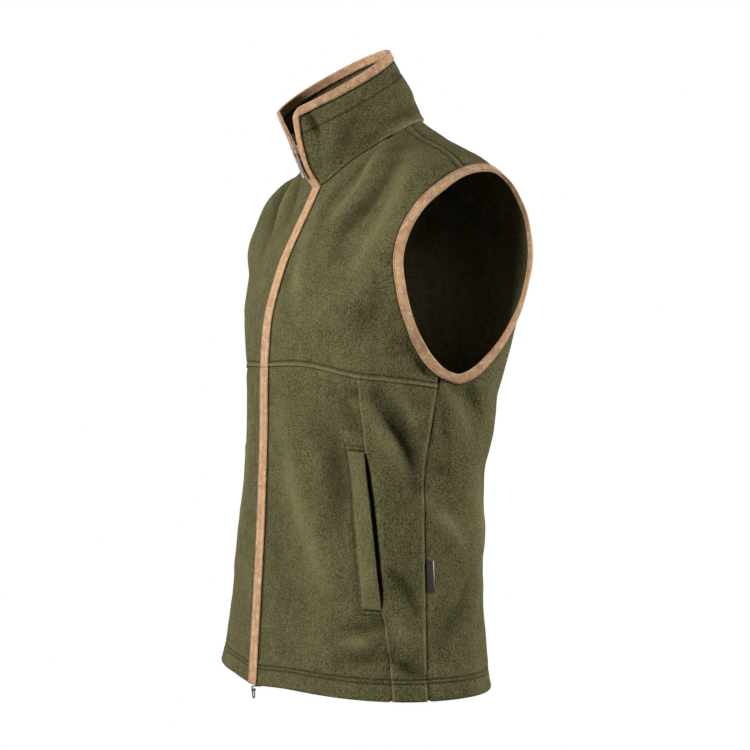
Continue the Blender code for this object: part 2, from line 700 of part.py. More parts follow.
def drawn_in(points, normals, triangles, bound, distance):
    """Draws the piece's sewn edges in along the cloth and leaves its bound edges."""
    meeting = {}
    for a, b in open_edges(triangles):
        reach = 0.0 if a in bound and b in bound else distance
        for end in (a, b):
            inward = unit(np.cross(normals[end], points[b] - points[a]))
            meeting.setdefault(end, []).append((inward, reach))
    moved = points.copy()
    for end, ((first, reach_a), (second, reach_b)) in meeting.items():
        both = first @ second
        if both > 0.9:
            moved[end] += unit(first + second) * (reach_a + reach_b) / 2
        else:
            part_a = (reach_a - both * reach_b) / (1 - both**2)
            part_b = (reach_b - both * reach_a) / (1 - both**2)
            moved[end] += part_a * first + part_b * second
    return moved


def shell(sheet, thickness):
    """A closed piece of cloth, its outer face on the sheet."""
    points, normals, triangles = sheet.arrays()
    outer = drawn_in(points, normals, triangles, sheet.bound, SEAM_GAP / 2)
    inner = outer - normals * np.broadcast_to(thickness, (len(points),))[:, None]
    under = triangles[:, ::-1] + len(points)
    rim = []
    for a, b in open_edges(triangles):
        low_a, low_b = a + len(points), b + len(points)
        if a in sheet.bound and b in sheet.bound:
            forward = sheet.bound[a] < sheet.bound[b]
        else:
            forward = tuple(points[a]) < tuple(points[b])
        if forward:
            rim += [(b, a, low_a), (b, low_a, low_b)]
        else:
            rim += [(b, a, low_b), (a, low_a, low_b)]
    return np.concatenate([outer, inner]), np.concatenate([triangles, under, rim])


def hem_thickness(sheet):
    """The hem is turned up once, so it is two layers thick."""
    heights = np.array(sheet.points)[:, 2]
    return np.where(heights < HEM_TURN + 0.0005, 2 * FLEECE, FLEECE)


# Sides of a binding's section whose cells are cut along the other diagonal, clear of the cloth
TURNED_SIDES = (5, 9)


def tube(sections, closed):
    """Joins sections of equal size along a path, with flat ends unless it closes."""
    count, size = sections.shape[:2]
    index = np.arange(count * size).reshape(count, size)
    triangles = []
    for k in range(count if closed else count - 1):
        here, there = index[k], index[(k + 1) % count]
        for m in range(size):
            a, b = here[m], here[(m + 1) % size]
            d, c = there[m], there[(m + 1) % size]
            if m in TURNED_SIDES:
                triangles += [(a, b, d), (b, c, d)]
            else:
                triangles += [(a, b, c), (a, c, d)]
    faces = triangles
    if not closed:
        faces = faces + [tuple(index[0][::-1]), tuple(index[-1])]
    return sections.reshape(-1, 3), faces


class Edge:
    """Samples along a bound edge: stitch and cut points, their normals and the wall there."""

    def __init__(self, stitch, cut, stitch_normals, cut_normals, thickness=FLEECE):
        self.stitch, self.cut = stitch, cut
        self.stitch_normals, self.cut_normals = stitch_normals, cut_normals
        self.thickness = np.broadcast_to(thickness, (len(stitch),)).copy()

    def joined(self, other):
        return Edge(
            np.concatenate([self.stitch, other.stitch]),
            np.concatenate([self.cut, other.cut]),
            np.concatenate([self.stitch_normals, other.stitch_normals]),
            np.concatenate([self.cut_normals, other.cut_normals]),
            np.concatenate([self.thickness, other.thickness]),
        )

    def reversed(self):
        return self.picked(slice(None, None, -1))

    def picked(self, rows):
        return Edge(self.stitch[rows], self.cut[rows], self.stitch_normals[rows],
                    self.cut_normals[rows], self.thickness[rows])

    def outward(self):
        """Unit steps from the stitches over the cut edge, square to the normals."""
        out = unit(self.cut - self.stitch)
        along = (out * self.cut_normals).sum(axis=-1, keepdims=True)
        return unit(out - along * self.cut_normals)


def binding(edge, closed=False):
    """A strip of suede folded round the edge."""
    out, near = edge.outward(), SEAM_GAP
    far, wall = SEAM_GAP + SUEDE, edge.thickness[:, None]
    cut = edge.cut
    stitch = edge.stitch + (cut - edge.stitch) * STITCH_SET_IN
    up_stitch, up_cut = edge.stitch_normals, edge.cut_normals
    section = [
        stitch + up_stitch * near,
        stitch + up_stitch * far,
        cut + up_cut * far,
        cut + out * far - up_cut * wall * 0.15,
        cut + out * far - up_cut * wall * 0.85,
        cut - up_cut * (wall + far),
        stitch - up_stitch * (wall + far),
        stitch - up_stitch * (wall + near),
        cut - up_cut * (wall + near) + out * near,
        cut + up_cut * near + out * near,
    ]
    sections = np.stack(section, axis=1)
    if not closed:
        back_off(sections, edge)
    return tube(sections, closed)


def back_off(sections, edge):
    """Draws both ends of a strip in, square to the plane of its end section."""
    for end, inner in ((0, 1), (-1, -2)):
        square = np.cross(edge.cut[end] - edge.stitch[end], edge.stitch_normals[end])
        square = unit(square * np.sign(square @ (edge.stitch[inner] - edge.stitch[end])))
        sections[end] += square * SEAM_GAP / 2


def zip_tape(edge):
    """One side of the zip: woven tape with its teeth cord along the middle of the garment."""
    cut, stitch = edge.cut, edge.stitch
    deep = (edge.thickness - FLEECE)[:, None]
    section = []
    for across, depth in TAPE_SECTION:
        share = (across - CUT_X) / BINDING_FACE
        point = cut + (stitch - cut) * share
        normal = unit(edge.cut_normals + (edge.stitch_normals - edge.cut_normals) * share)
        section.append(point - normal * (depth + deep))
    return tube(np.stack(section, axis=1), False)


def torso_edge(stitch, cut, side, thickness=FLEECE):
    """A bound edge from (turn, height) lines of its stitches and its cut."""
    return Edge(
        cloth(stitch[:, 0], stitch[:, 1], side),
        cloth(cut[:, 0], cut[:, 1], side),
        cloth_normal(stitch[:, 0], stitch[:, 1], side),
        cloth_normal(cut[:, 0], cut[:, 1], side),
        thickness,
    )


def zip_cut(stitch):
    """The cut edge beside the zip's stitch line, at the same heights."""
    return np.stack([turn_at_x(np.full(len(stitch), CUT_X), stitch[:, 1]), stitch[:, 1]], axis=-1)


def armhole_loop():
    """The armhole's stitch line: up the front, down the back and round the foot."""
    rows = LAYOUT.upper[1:, -1]
    back = LAYOUT.back_upper[:, 0][::-1]
    foot = LAYOUT.back_foot[::-1]
    return np.concatenate([rows, back[1:], foot[1:-1]])


def armhole_cut(loop):
    """The armhole's cut edge, inside its stitch line."""
    points = skin(loop[:, 0], loop[:, 1])
    along = np.roll(points, -1, axis=0) - np.roll(points, 1, axis=0)
    out = slope_normal(skin, loop[:, 0], loop[:, 1], 2e-3, 1e-3)
    inward = unit(np.cross(along, out))
    middle = points.mean(axis=0)
    inward *= np.sign(((middle - points) * inward).sum(axis=1).sum())
    return onto_skin(points + inward * BINDING_FACE)


LAYOUT = Layout()
ARMHOLE_STITCH = armhole_loop()
ARMHOLE_CUT = armhole_cut(ARMHOLE_STITCH)


def collar_shape(angle, up, side):
    """The collar between the neck seam at up = 0 and its top edge at up = 1."""
    angle, up = np.broadcast_arrays(np.asarray(angle, float), np.asarray(up, float))
    place = neck_ring(angle)
    low = cloth(place[..., 0], place[..., 1], side)
    across, along = np.abs(np.sin(angle)), np.abs(np.cos(angle))
    back = angle > np.pi / 2
    power = np.where(back, 2.0, COLLAR_FRONT_POWER)
    size = (across**power + along**power) ** (-1 / power)
    x = side * COLLAR_HALF_WIDTH * size * np.sin(angle)
    y = COLLAR_Y - np.where(back, COLLAR_BACK, COLLAR_FRONT) * size * np.cos(angle)
    height = COLLAR_MID_HEIGHT + COLLAR_TILT * (y - COLLAR_TILT_Y)
    high = np.stack([x, y, height], axis=-1)
    out = np.stack([side * np.sin(angle), -np.cos(angle), np.zeros_like(angle)], axis=-1)
    roll = COLLAR_ROLL * ROLL_PEAK * up * (1 - up) ** 2
    up = up[..., None]
    return low * (1 - up) + high * up + out * roll[..., None] + collar_folds(high, up) * out


def collar_folds(high, up):
    """Soft folds low on the collar where it turns from the neck."""
    wave = np.sin(high[..., 1:2] * COLLAR_WAVES + 0.8) * np.sin(np.pi * np.clip(up, 0, 1)) ** 2
    return COLLAR_WAVE_DEPTH * wave


def collar_normal(angle, up, side):
    def face(u, v):
        return collar_shape(u, v, side)

    return side * slope_normal(face, angle, up, 2e-3, 4e-3)


def collar_angle_at(x, up):
    """Where the collar's front lies at this distance from the middle."""
    low, high = np.zeros_like(up), np.full_like(up, 1.2)
    for _ in range(40):
        angle = (low + high) / 2
        short = collar_shape(angle, up, 1)[..., 0] < x
        low = np.where(short, angle, low)
        high = np.where(short, high, angle)
    return low


def collar_columns():
    """Angles of the collar's columns for each row, and the rows' heights on it."""
    at_seam = np.r_[
        np.linspace(NECK_STITCH_ANGLE, NECK_SEAM_ANGLE, LOWER_COLUMNS + 1),
        np.linspace(NECK_SEAM_ANGLE, np.pi, NAPE_COLUMNS + 1)[1:],
    ]
    part = (at_seam - at_seam[0]) / (np.pi - at_seam[0])
    length = np.linalg.norm(collar_shape(at_seam, 1.0, 1) - collar_shape(at_seam, 0.0, 1), axis=-1)
    ups = np.linspace(0, 1, COLLAR_ROWS + 1)[:, None] * (1 - BINDING_FACE / length)
    ups = np.concatenate([ups, np.ones((1, len(length)))])
    edge_x = CUT_X + (COLLAR_SPLAY - CUT_X) * ups[:, 0] ** COLLAR_SPLAY_POWER
    face = BINDING_FACE * (1 - COLLAR_FACE_NARROWING * ups[:, 0])
    front = collar_angle_at(edge_x + face, ups[:, 0])
    front[0] = NECK_STITCH_ANGLE
    angles = front[:, None] + part * (np.pi - front[:, None])
    angles[0] = at_seam
    cut_angles = collar_angle_at(edge_x, ups[:, 0])
    cut_angles[0] = NECK_CUT_ANGLE
    return angles, ups, cut_angles


def collar_samples(side):
    """Points and normals of one half of the collar, with its cut edges."""
    angles, ups, cut_angles = collar_columns()
    points, normals = collar_shape(angles, ups, side), collar_normal(angles, ups, side)
    cuts = collar_shape(cut_angles, ups[:, 0], side)
    cut_normals = collar_normal(cut_angles, ups[:, 0], side)
    normals[0] = neck_normals(angles[0], side)
    cut_normals[0] = neck_normals(cut_angles[:1], side)[0]
    points[:, -1, 0] = 0.0
    normals[:, -1, 0] = 0.0
    return points, normals, cuts, cut_normals


def neck_normals(angle, side):
    """At the neck seam the torso and the collar share a normal."""
    place = neck_ring(angle)
    torso = cloth_normal(place[..., 0], place[..., 1], side)
    return unit(torso + collar_normal(angle, np.zeros_like(angle), side))


def collar_edge(side):
    """The collar's bound edge from the neck seam up the front and along the top to the nape."""
    points, normals, cuts, cut_normals = collar_samples(side)
    rows = COLLAR_ROWS + 1
    front = Edge(points[:rows, 0], cuts[:rows], normals[:rows, 0], cut_normals[:rows])
    top = Edge(points[-2], points[-1], normals[-2], normals[-1])
    corner, square = points[-2, 0], normals[-2, 0]
    sideways, upward = unit(cuts[-2] - corner), unit(points[-1, 0] - corner)
    turns = np.linspace(0, np.pi / 2, 5)[1:-1, None]
    round_cut = corner + BINDING_FACE * (np.cos(turns) * sideways + np.sin(turns) * upward)
    repeat = np.repeat(corner[None], len(turns), axis=0)
    squares = np.repeat(square[None], len(turns), axis=0)
    return front, Edge(repeat, round_cut, squares, squares), top


def collar():
    sheet = Sheet()
    for side in (LEFT, RIGHT):
        points, normals, cuts, cut_normals = collar_samples(side)
        core = sheet.add(points[:-1], normals[:-1])
        front, corner, top = collar_edge(side)
        cut = sheet.add(cuts[:-1], cut_normals[:-1])
        top_cut = sheet.add(points[-1], normals[-1])
        arc = sheet.add(corner.cut, corner.cut_normals)
        fan = np.r_[cut[-1], arc, top_cut[0]]
        sheet.triangles += [(core[-1, 0], fan[k], fan[k + 1]) for k in range(len(fan) - 1)]
        if side == LEFT:
            sheet.grid(core)
            sheet.strip(core[:, 0], cut)
            sheet.bind(fan)
            sheet.strip(core[-1], top_cut)
        else:
            sheet.grid(core[:, ::-1])
            sheet.strip(core[-1, ::-1], top_cut[::-1])
            sheet.bind(fan[::-1])
            sheet.strip(core[::-1, 0], cut[::-1])
    return shell(sheet, FLEECE)


def collar_binding():
    left_front, left_corner, left_top = collar_edge(LEFT)
    right_front, right_corner, right_top = collar_edge(RIGHT)
    left = left_front.joined(left_corner).joined(left_top)
    right = right_top.reversed().picked(slice(1, None))
    right = right.joined(right_corner.reversed()).joined(right_front.reversed())
    points, faces = binding(left.joined(right))
    return welded(points, faces)


def welded(points, faces):
    """Joins points that coincide and drops the faces that this leaves empty."""
    places, index, kept = {}, [], []
    for point in points:
        place = tuple(np.round(point, 7) + 0.0)
        if place not in places:
            places[place] = len(kept)
            kept.append(point)
        index.append(places[place])
    faces = [tuple(index[k] for k in face) for face in faces]
    return np.array(kept), [face for face in faces if len(set(face)) == len(face)]


def torso_sheet(sheet, grid, side, top_normals=None):
    """Adds a panel's grid to its sheet and gives back the indices."""
    points = cloth(grid[..., 0], grid[..., 1], side)
    normals = cloth_normal(grid[..., 0], grid[..., 1], side)
    if top_normals is not None:
        normals[-1, top_normals[0]] = top_normals[1]
    index = sheet.add(points, normals)
    sheet.grid(index)
    return index


def neck_front_normals(side):
    angle = np.linspace(NECK_STITCH_ANGLE, NECK_SEAM_ANGLE, LOWER_COLUMNS + 1)
    return slice(0, LOWER_COLUMNS + 1), neck_normals(angle, side)


def neck_back_normals(side):
    angle = np.linspace(NECK_SEAM_ANGLE, np.pi, NAPE_COLUMNS + 1)
    return slice(SIDE_COLUMNS, None), neck_normals(angle, side)


def upper_zip_edge(side):
    """The front's zip edge from the chest seam to the neck seam."""
    stitch = LAYOUT.upper[:, 0]
    cut = zip_cut(stitch)
    cut[-1] = neck_ring(np.array([NECK_CUT_ANGLE]))[0]
    edge = torso_edge(stitch, cut, side)
    ends = neck_normals(np.array([NECK_STITCH_ANGLE, NECK_CUT_ANGLE]), side)
    edge.stitch_normals[-1], edge.cut_normals[-1] = ends
    return edge


def lower_zip_edge(side):
    """The front's zip edge from the hem to the chest seam."""
    stitch = LAYOUT.lower[:, 0]
    thickness = np.where(stitch[:, 1] < HEM_TURN + 0.0005, 2 * FLEECE, FLEECE)
    return torso_edge(stitch, zip_cut(stitch), side, thickness)


def armhole_edge(side):
    return torso_edge(ARMHOLE_STITCH, ARMHOLE_CUT, side)


def front_upper(side):
    sheet = Sheet()
    index = torso_sheet(sheet, LAYOUT.upper, side, neck_front_normals(side))
    edge = upper_zip_edge(side)
    sheet.strip(index[:, 0], sheet.add(edge.cut, edge.cut_normals))
    hole = armhole_edge(side).picked(slice(0, UPPER_ROWS + 1))
    sheet.strip(index[1:, -1], sheet.add(hole.cut, hole.cut_normals))
    return shell(sheet, FLEECE)


def mouth_rise(count):
    """From 0 at the ends of the pocket mouth to 1 along its middle."""
    return np.sin(np.pi * np.linspace(0, 1, count)) ** MOUTH_FULLNESS


MOUTH = slice(LOWER_ROWS.index(POCKET_BOTTOM), LOWER_ROWS.index(POCKET_TOP) + 1)
MOUTH_COUNT = MOUTH.stop - MOUTH.start


def front_lower(side):
    sheet = Sheet()
    index = torso_sheet(sheet, LAYOUT.lower, side)
    edge = lower_zip_edge(side)
    sheet.strip(index[:, 0], sheet.add(edge.cut, edge.cut_normals))
    for row, rise in zip(index[MOUTH], mouth_rise(MOUTH_COUNT)):
        inward = unit(sheet.points[row[-2]] - sheet.points[row[-1]])
        sheet.points[row[-1]] = sheet.points[row[-1]] + inward * MOUTH_BACK * rise
    return shell(sheet, hem_thickness(sheet))


def front_side(side):
    sheet = Sheet()
    index = torso_sheet(sheet, LAYOUT.side, side)
    for row, rise in zip(index[MOUTH], mouth_rise(MOUTH_COUNT)):
        sheet.points[row[0]] = sheet.points[row[0]] - sheet.normals[row[0]] * MOUTH_DEPTH * rise
    return shell(sheet, hem_thickness(sheet))


def back():
    sheet = Sheet()
    for side in (LEFT, RIGHT):
        low = torso_sheet(sheet, LAYOUT.back_lower, side)
        high = torso_sheet(sheet, LAYOUT.back_upper, side, neck_back_normals(side))
        hole = armhole_edge(side)
        rows = np.r_[UPPER_ROWS:len(ARMHOLE_STITCH), 0]
        cut = sheet.add(hole.cut[rows], hole.cut_normals[rows])
        stitch = np.r_[high[::-1, 0], low[-1, :ARMPIT_COLUMNS][::-1]]
        sheet.strip(stitch, cut)
    return shell(sheet, hem_thickness(sheet))


def pocket_welt(side):
    """A band sewn over the pocket seam, its free edge standing a little proud."""
    sheet = Sheet()
    grid = LAYOUT.lower[MOUTH, -2:]
    points = cloth(grid[..., 0], grid[..., 1], side)
    normals = cloth_normal(grid[..., 0], grid[..., 1], side)
    rise = mouth_rise(MOUTH_COUNT)[:, None]
    free = points[:, 1] + unit(points[:, 1] - points[:, 0]) * WELT_OVER
    lifted = SEAM_GAP + FLEECE + WELT_LIFT * rise
    outer = np.stack([points[:, 0] + normals[:, 0] * (SEAM_GAP + FLEECE), free + normals[:, 1] * lifted], 1)
    sheet.grid(sheet.add(outer, normals))
    return shell(sheet, FLEECE)


def pocket_bag(side):
    """The back of the pocket: one thin layer behind the front, deepest at the mouth."""
    sheet = Sheet()
    rows = slice(MOUTH.start - 1, MOUTH.stop + 1)
    grid = LAYOUT.lower[rows, BAG_FROM_COLUMN:]
    points = cloth(grid[..., 0], grid[..., 1], side)
    normals = cloth_normal(grid[..., 0], grid[..., 1], side)
    across = np.linspace(0, 1, points.shape[1])[None]
    up = np.sin(np.pi * np.linspace(0, 1, points.shape[0]))[:, None]
    depth = FLEECE + SEAM_GAP + BAG_SAG * across**2 * up**MOUTH_FULLNESS
    sheet.grid(sheet.add(points - normals * depth[..., None], normals))
    return shell(sheet, BAG_SHEET)


def side_label():
    """A blank folded loop that hangs from the left side seam."""
    points = cloth(LAYOUT.back_lower[..., 0], LAYOUT.back_lower[..., 1], LEFT)
    normals = cloth_normal(LAYOUT.back_lower[..., 0], LAYOUT.back_lower[..., 1], LEFT)
    low = MOUTH.start + 1
    lines, squares = [], []
    for row, share in LABEL_ROWS:
        ends = points[low + row, :2] * (1 - share) + points[low + row + 1, :2] * share
        across = unit(ends[1] - ends[0])
        start = ends[0] + across * LABEL_FROM
        lines.append([start, start + across * LABEL_WIDTH])
        squares.append([normals[low + row, 0], normals[low + row, 0]])
    lines, squares = np.array(lines), np.array(squares)
    sheet = Sheet()
    sheet.grid(sheet.add(lines + squares * (LABEL_LIFT + LABEL_THICKNESS), squares))
    return shell(sheet, LABEL_THICKNESS)


def zip_path(side):
    """The zip's frames from above the hem to below the collar's corner."""
    low, high = lower_zip_edge(side), upper_zip_edge(side)
    neck = collar_edge(side)[0]
    start = low.picked([0])
    share = TAPE_START / (low.cut[1, 2] - low.cut[0, 2])
    start.cut = low.cut[:1] * (1 - share) + low.cut[1:2] * share
    start.stitch = low.stitch[:1] * (1 - share) + low.stitch[1:2] * share
    path = start.joined(low.picked(slice(1, -1))).joined(high)
    return path.joined(neck.picked(slice(1, TAPE_COLLAR_ROWS + 1)))


def prism(outline, origin, along_a, along_b, along_c, half_thickness):
    """A flat outline given as (a, b) pairs, thickened both ways along c."""
    outline = np.array(outline)
    middle = np.array(origin) + outline[:, :1] * along_a + outline[:, 1:] * along_b
    half = np.array(along_c) * half_thickness
    count = len(outline)
    points = np.concatenate([middle - half, middle + half])
    faces = [tuple(range(count)), tuple(range(2 * count - 1, count - 1, -1))]
    for k in range(count):
        after = (k + 1) % count
        faces.append((k, k + count, after + count, after))
    return points, faces


def ring(points, across, radius, count=8):
    """A wire bent round a closed path in the plane square to one direction."""
    along = np.roll(points, -1, axis=0) - np.roll(points, 1, axis=0)
    out = unit(np.cross(along, across))
    angle = np.linspace(0, 2 * np.pi, count, endpoint=False)[None, :, None]
    sections = points[:, None] + radius * (np.cos(angle) * out[:, None] + np.sin(angle) * np.array(across))
    index = np.arange(sections.shape[0] * count).reshape(-1, count)
    faces = []
    for k in range(len(index)):
        here, there = index[k], index[(k + 1) % len(index)]
        for m in range(count):
            faces.append((here[m], here[(m + 1) % count], there[(m + 1) % count], there[m]))
    return sections.reshape(-1, 3), faces


def make(name, material, points, faces, pivot=None):
    """Adds a closed piece to the scene, with its own material and its origin on its pivot."""
    pivot = np.zeros(3) if pivot is None else np.array(pivot) - ORIGIN
    mesh = bpy.data.meshes.new(name)
    mesh.from_pydata((points - ORIGIN - pivot).tolist(), [], [list(map(int, face)) for face in faces])
    bm = bmesh.new()
    bm.from_mesh(mesh)
    bmesh.ops.recalc_face_normals(bm, faces=bm.faces)
    bm.to_mesh(mesh)
    bm.free()
    look = bpy.data.materials.new(name)
    look.use_nodes = True
    shader = look.node_tree.nodes["Principled BSDF"]
    shader.inputs["Base Color"].default_value = (*MATERIALS[material].colour, 1)
    shader.inputs["Roughness"].default_value = MATERIALS[material].roughness
    shader.inputs["Metallic"].default_value = MATERIALS[material].metallic
    mesh.materials.append(look)
    piece = bpy.data.objects.new(name, mesh)
    piece.location = pivot
    bpy.context.scene.collection.objects.link(piece)
    return piece


def combine(piece, other, operation):
    """Joins or cuts a piece with a helper that isn't itself a part of the garment."""
    other.hide_render = True
    other.display_type = "WIRE"
    modifier = piece.modifiers.new(other.name, "BOOLEAN")
    modifier.operation = operation
    modifier.solver = "EXACT"
    modifier.object = other


ORIGIN = np.array([0.0, SHOULDER_Y, SHOULDER_HEIGHT])
X_AXIS = np.array([1.0, 0.0, 0.0])
UP = np.array([0.0, 0.0, 1.0])
FORWARD = np.array([0.0, -1.0, 0.0])


def zip_frame():
    """Place, outward and upward directions of the zip where the top slider sits."""
    edge = collar_edge(LEFT)[0]
    points = edge.cut * (0, 1, 1)
    share = (SLIDER_HEIGHT - points[:-1, 2]) / np.diff(points[:, 2])
    row = int(np.argmax((share >= 0) & (share <= 1)))
    place = points[row] + (points[row + 1] - points[row]) * share[row]
    upward = unit(points[row + 1] - points[row])
    return place, np.cross(X_AXIS, upward), upward


def top_slider():
    place, out, up = zip_frame()
    middle = place - SLIDER_BEHIND * out
    body = prism(SLIDER_BODY, middle, X_AXIS, up, out, SLIDER_HALF_THICKNESS)
    slider = make("top_slider", "silver_zinc", *body)
    hook = prism(SLIDER_HOOK, place, out, up, X_AXIS, HOOK_HALF_WIDTH)
    combine(slider, make("top_slider_hook", "silver_zinc", *hook), "UNION")


def top_pull():
    place, out, up = zip_frame()
    pivot = place + out * PULL_AXIS[0] + up * PULL_AXIS[1]
    down = np.array([0.0, np.sin(PULL_LEAN), -np.cos(PULL_LEAN)])
    face = np.cross(X_AXIS, down)
    tab = prism(PULL_OUTLINE, pivot, X_AXIS, down, face, PULL_HALF_THICKNESS)
    pull = make("top_pull", "silver_zinc", *tab, pivot=pivot)
    hole = prism(PULL_HOLE, pivot, X_AXIS, down, face, PULL_HOLE_HALF_DEPTH)
    combine(pull, make("top_pull_hole", "silver_zinc", *hole), "DIFFERENCE")


def bottom_frame():
    """The lowest point of the outer cloth in the middle of the hem."""
    return lower_zip_edge(LEFT).cut[0] * (0, 1, 1)


def bottom_slider():
    place = bottom_frame()
    body = prism(BOTTOM_BODY, place, X_AXIS, UP, FORWARD, BOTTOM_HALF_THICKNESS)
    body = (body[0] - FORWARD * BOTTOM_BEHIND, body[1])
    slider = make("bottom_slider", "gunmetal_zinc", *body)
    hook = prism(BOTTOM_HOOK, place, FORWARD, UP, X_AXIS, HOOK_HALF_WIDTH)
    combine(slider, make("bottom_slider_hook", "gunmetal_zinc", *hook), "UNION")


def bottom_pull():
    pivot = bottom_frame() + FORWARD * RING_AXIS[0] + UP * RING_AXIS[1]
    wide, short = RING_HALF_WIDTH, RING_HALF_WIDTH - RING_CORNER
    angle = np.linspace(0, np.pi, 7)
    low = np.stack([-wide * np.cos(angle), wide - RING_LENGTH - wide * np.sin(angle)], axis=-1)
    high = [(wide, -RING_CORNER), (short, 0.0), (0.0, 0.0), (-short, 0.0), (-wide, -RING_CORNER)]
    path = np.concatenate([low, high])
    points = pivot + path[:, :1] * X_AXIS + path[:, 1:] * UP
    make("bottom_pull", "gunmetal_zinc", *ring(points, FORWARD, RING_WIRE), pivot=pivot)


def garment():
    make("back", "fleece", *back())
    make("collar", "fleece", *collar())
    make("binding_collar", "suede", *collar_binding())
    for side, word in ((LEFT, "left"), (RIGHT, "right")):
        make("front_upper_" + word, "fleece", *front_upper(side))
        make("front_lower_" + word, "fleece", *front_lower(side))
        make("front_side_" + word, "fleece", *front_side(side))
        make("pocket_welt_" + word, "fleece", *pocket_welt(side))
        make("pocket_bag_" + word, "fleece", *pocket_bag(side))
        make("binding_armhole_" + word, "suede", *binding(armhole_edge(side), closed=True))
        make("binding_front_upper_" + word, "suede", *binding(upper_zip_edge(side)))
        make("binding_front_lower_" + word, "suede", *binding(lower_zip_edge(side)))
        make("zip_tape_" + word, "zip_tape", *zip_tape(zip_path(side)))
    make("side_label", "label_tape", *side_label())
    top_slider()
    top_pull()
    bottom_slider()
    bottom_pull()


for old in list(bpy.data.objects):
    bpy.data.objects.remove(old, do_unlink=True)
garment()
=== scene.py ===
"""The looks of a fleece gilet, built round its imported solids.

Napped fleece panels, folded suede binding, rows of stitching, a coil zip with its two
sliders, a woven side label and a plain studio. Metres, +Z up, +X is the wearer's left
and -Y is the front.
"""

import functools
import math
from collections import namedtuple

import bmesh
import bpy
import numpy as np
from bpy.props import FloatProperty, FloatVectorProperty, PointerProperty
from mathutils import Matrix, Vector, noise
from mathutils.bvhtree import BVHTree
from mathutils.kdtree import KDTree


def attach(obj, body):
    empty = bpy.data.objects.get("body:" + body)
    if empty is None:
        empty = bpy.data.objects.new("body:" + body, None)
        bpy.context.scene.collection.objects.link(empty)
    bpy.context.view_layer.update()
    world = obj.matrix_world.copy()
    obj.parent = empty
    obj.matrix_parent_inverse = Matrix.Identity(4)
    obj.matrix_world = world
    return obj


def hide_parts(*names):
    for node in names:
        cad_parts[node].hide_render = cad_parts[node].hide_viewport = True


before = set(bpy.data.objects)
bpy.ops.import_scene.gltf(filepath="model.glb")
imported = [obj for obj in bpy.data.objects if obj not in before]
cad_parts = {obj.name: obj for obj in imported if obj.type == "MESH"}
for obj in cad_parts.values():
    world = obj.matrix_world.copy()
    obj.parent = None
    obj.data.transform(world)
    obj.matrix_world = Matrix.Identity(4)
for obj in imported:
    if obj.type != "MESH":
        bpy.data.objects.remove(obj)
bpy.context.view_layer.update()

bl_info = {
    "name": "Fleece gilet",
    "version": (1, 0, 0),
    "blender": (4, 5, 0),
    "location": "View3D > Sidebar > Gilet",
    "description": "Sews the looks of a fleece gilet onto its packed solids",
    "category": "Object",
}

MM = 0.001

# Height 0 of the tables is the hem, and bearings turn round this upright line
HEM_Z = -0.627
AXIS_Y = -0.030

# The hem's two layers have the full thickness, and other places these shares of it
HEM_THICKNESS = 4.8 * MM
ONE_LAYER = 0.5
UNDER_BINDING = 0.36
# How far up from its fold the hem is double, and how far a binding covers the fleece
HEM_DOUBLE = 25 * MM
BINDING_FACE = 9.7 * MM
BAG_THICKNESS = 1.0 * MM

BODY = "garment"

# Every fleece piece, with the width and length of the rectangle it is cut from
Cut = namedtuple("Cut", "node width length")
FLEECE_CUTS = [
    Cut("back", 0.560, 0.690),
    Cut("collar", 0.460, 0.110),
    Cut("front_upper_left", 0.275, 0.300),
    Cut("front_upper_right", 0.275, 0.300),
    Cut("front_lower_left", 0.215, 0.375),
    Cut("front_lower_right", 0.215, 0.375),
    Cut("front_side_left", 0.078, 0.360),
    Cut("front_side_right", 0.078, 0.360),
    Cut("pocket_welt_left", 0.023, 0.180),
    Cut("pocket_welt_right", 0.023, 0.180),
    Cut("pocket_bag_left", 0.130, 0.220),
    Cut("pocket_bag_right", 0.130, 0.220),
]

# Strips of suede folded round the edges: the strip is 24 mm wide before it is folded
Strip = namedtuple("Strip", "node length")
BINDING_STRIPS = [
    Strip("binding_collar", 0.600),
    Strip("binding_armhole_left", 0.660),
    Strip("binding_armhole_right", 0.660),
    Strip("binding_front_upper_left", 0.300),
    Strip("binding_front_upper_right", 0.300),
    Strip("binding_front_lower_left", 0.380),
    Strip("binding_front_lower_right", 0.380),
]
# From the strip's free edge to its stitches, and how far off the fleece its outside lies
BINDING_STITCH = 1.35 * MM
SUEDE_OUTSIDE = 0.75 * MM

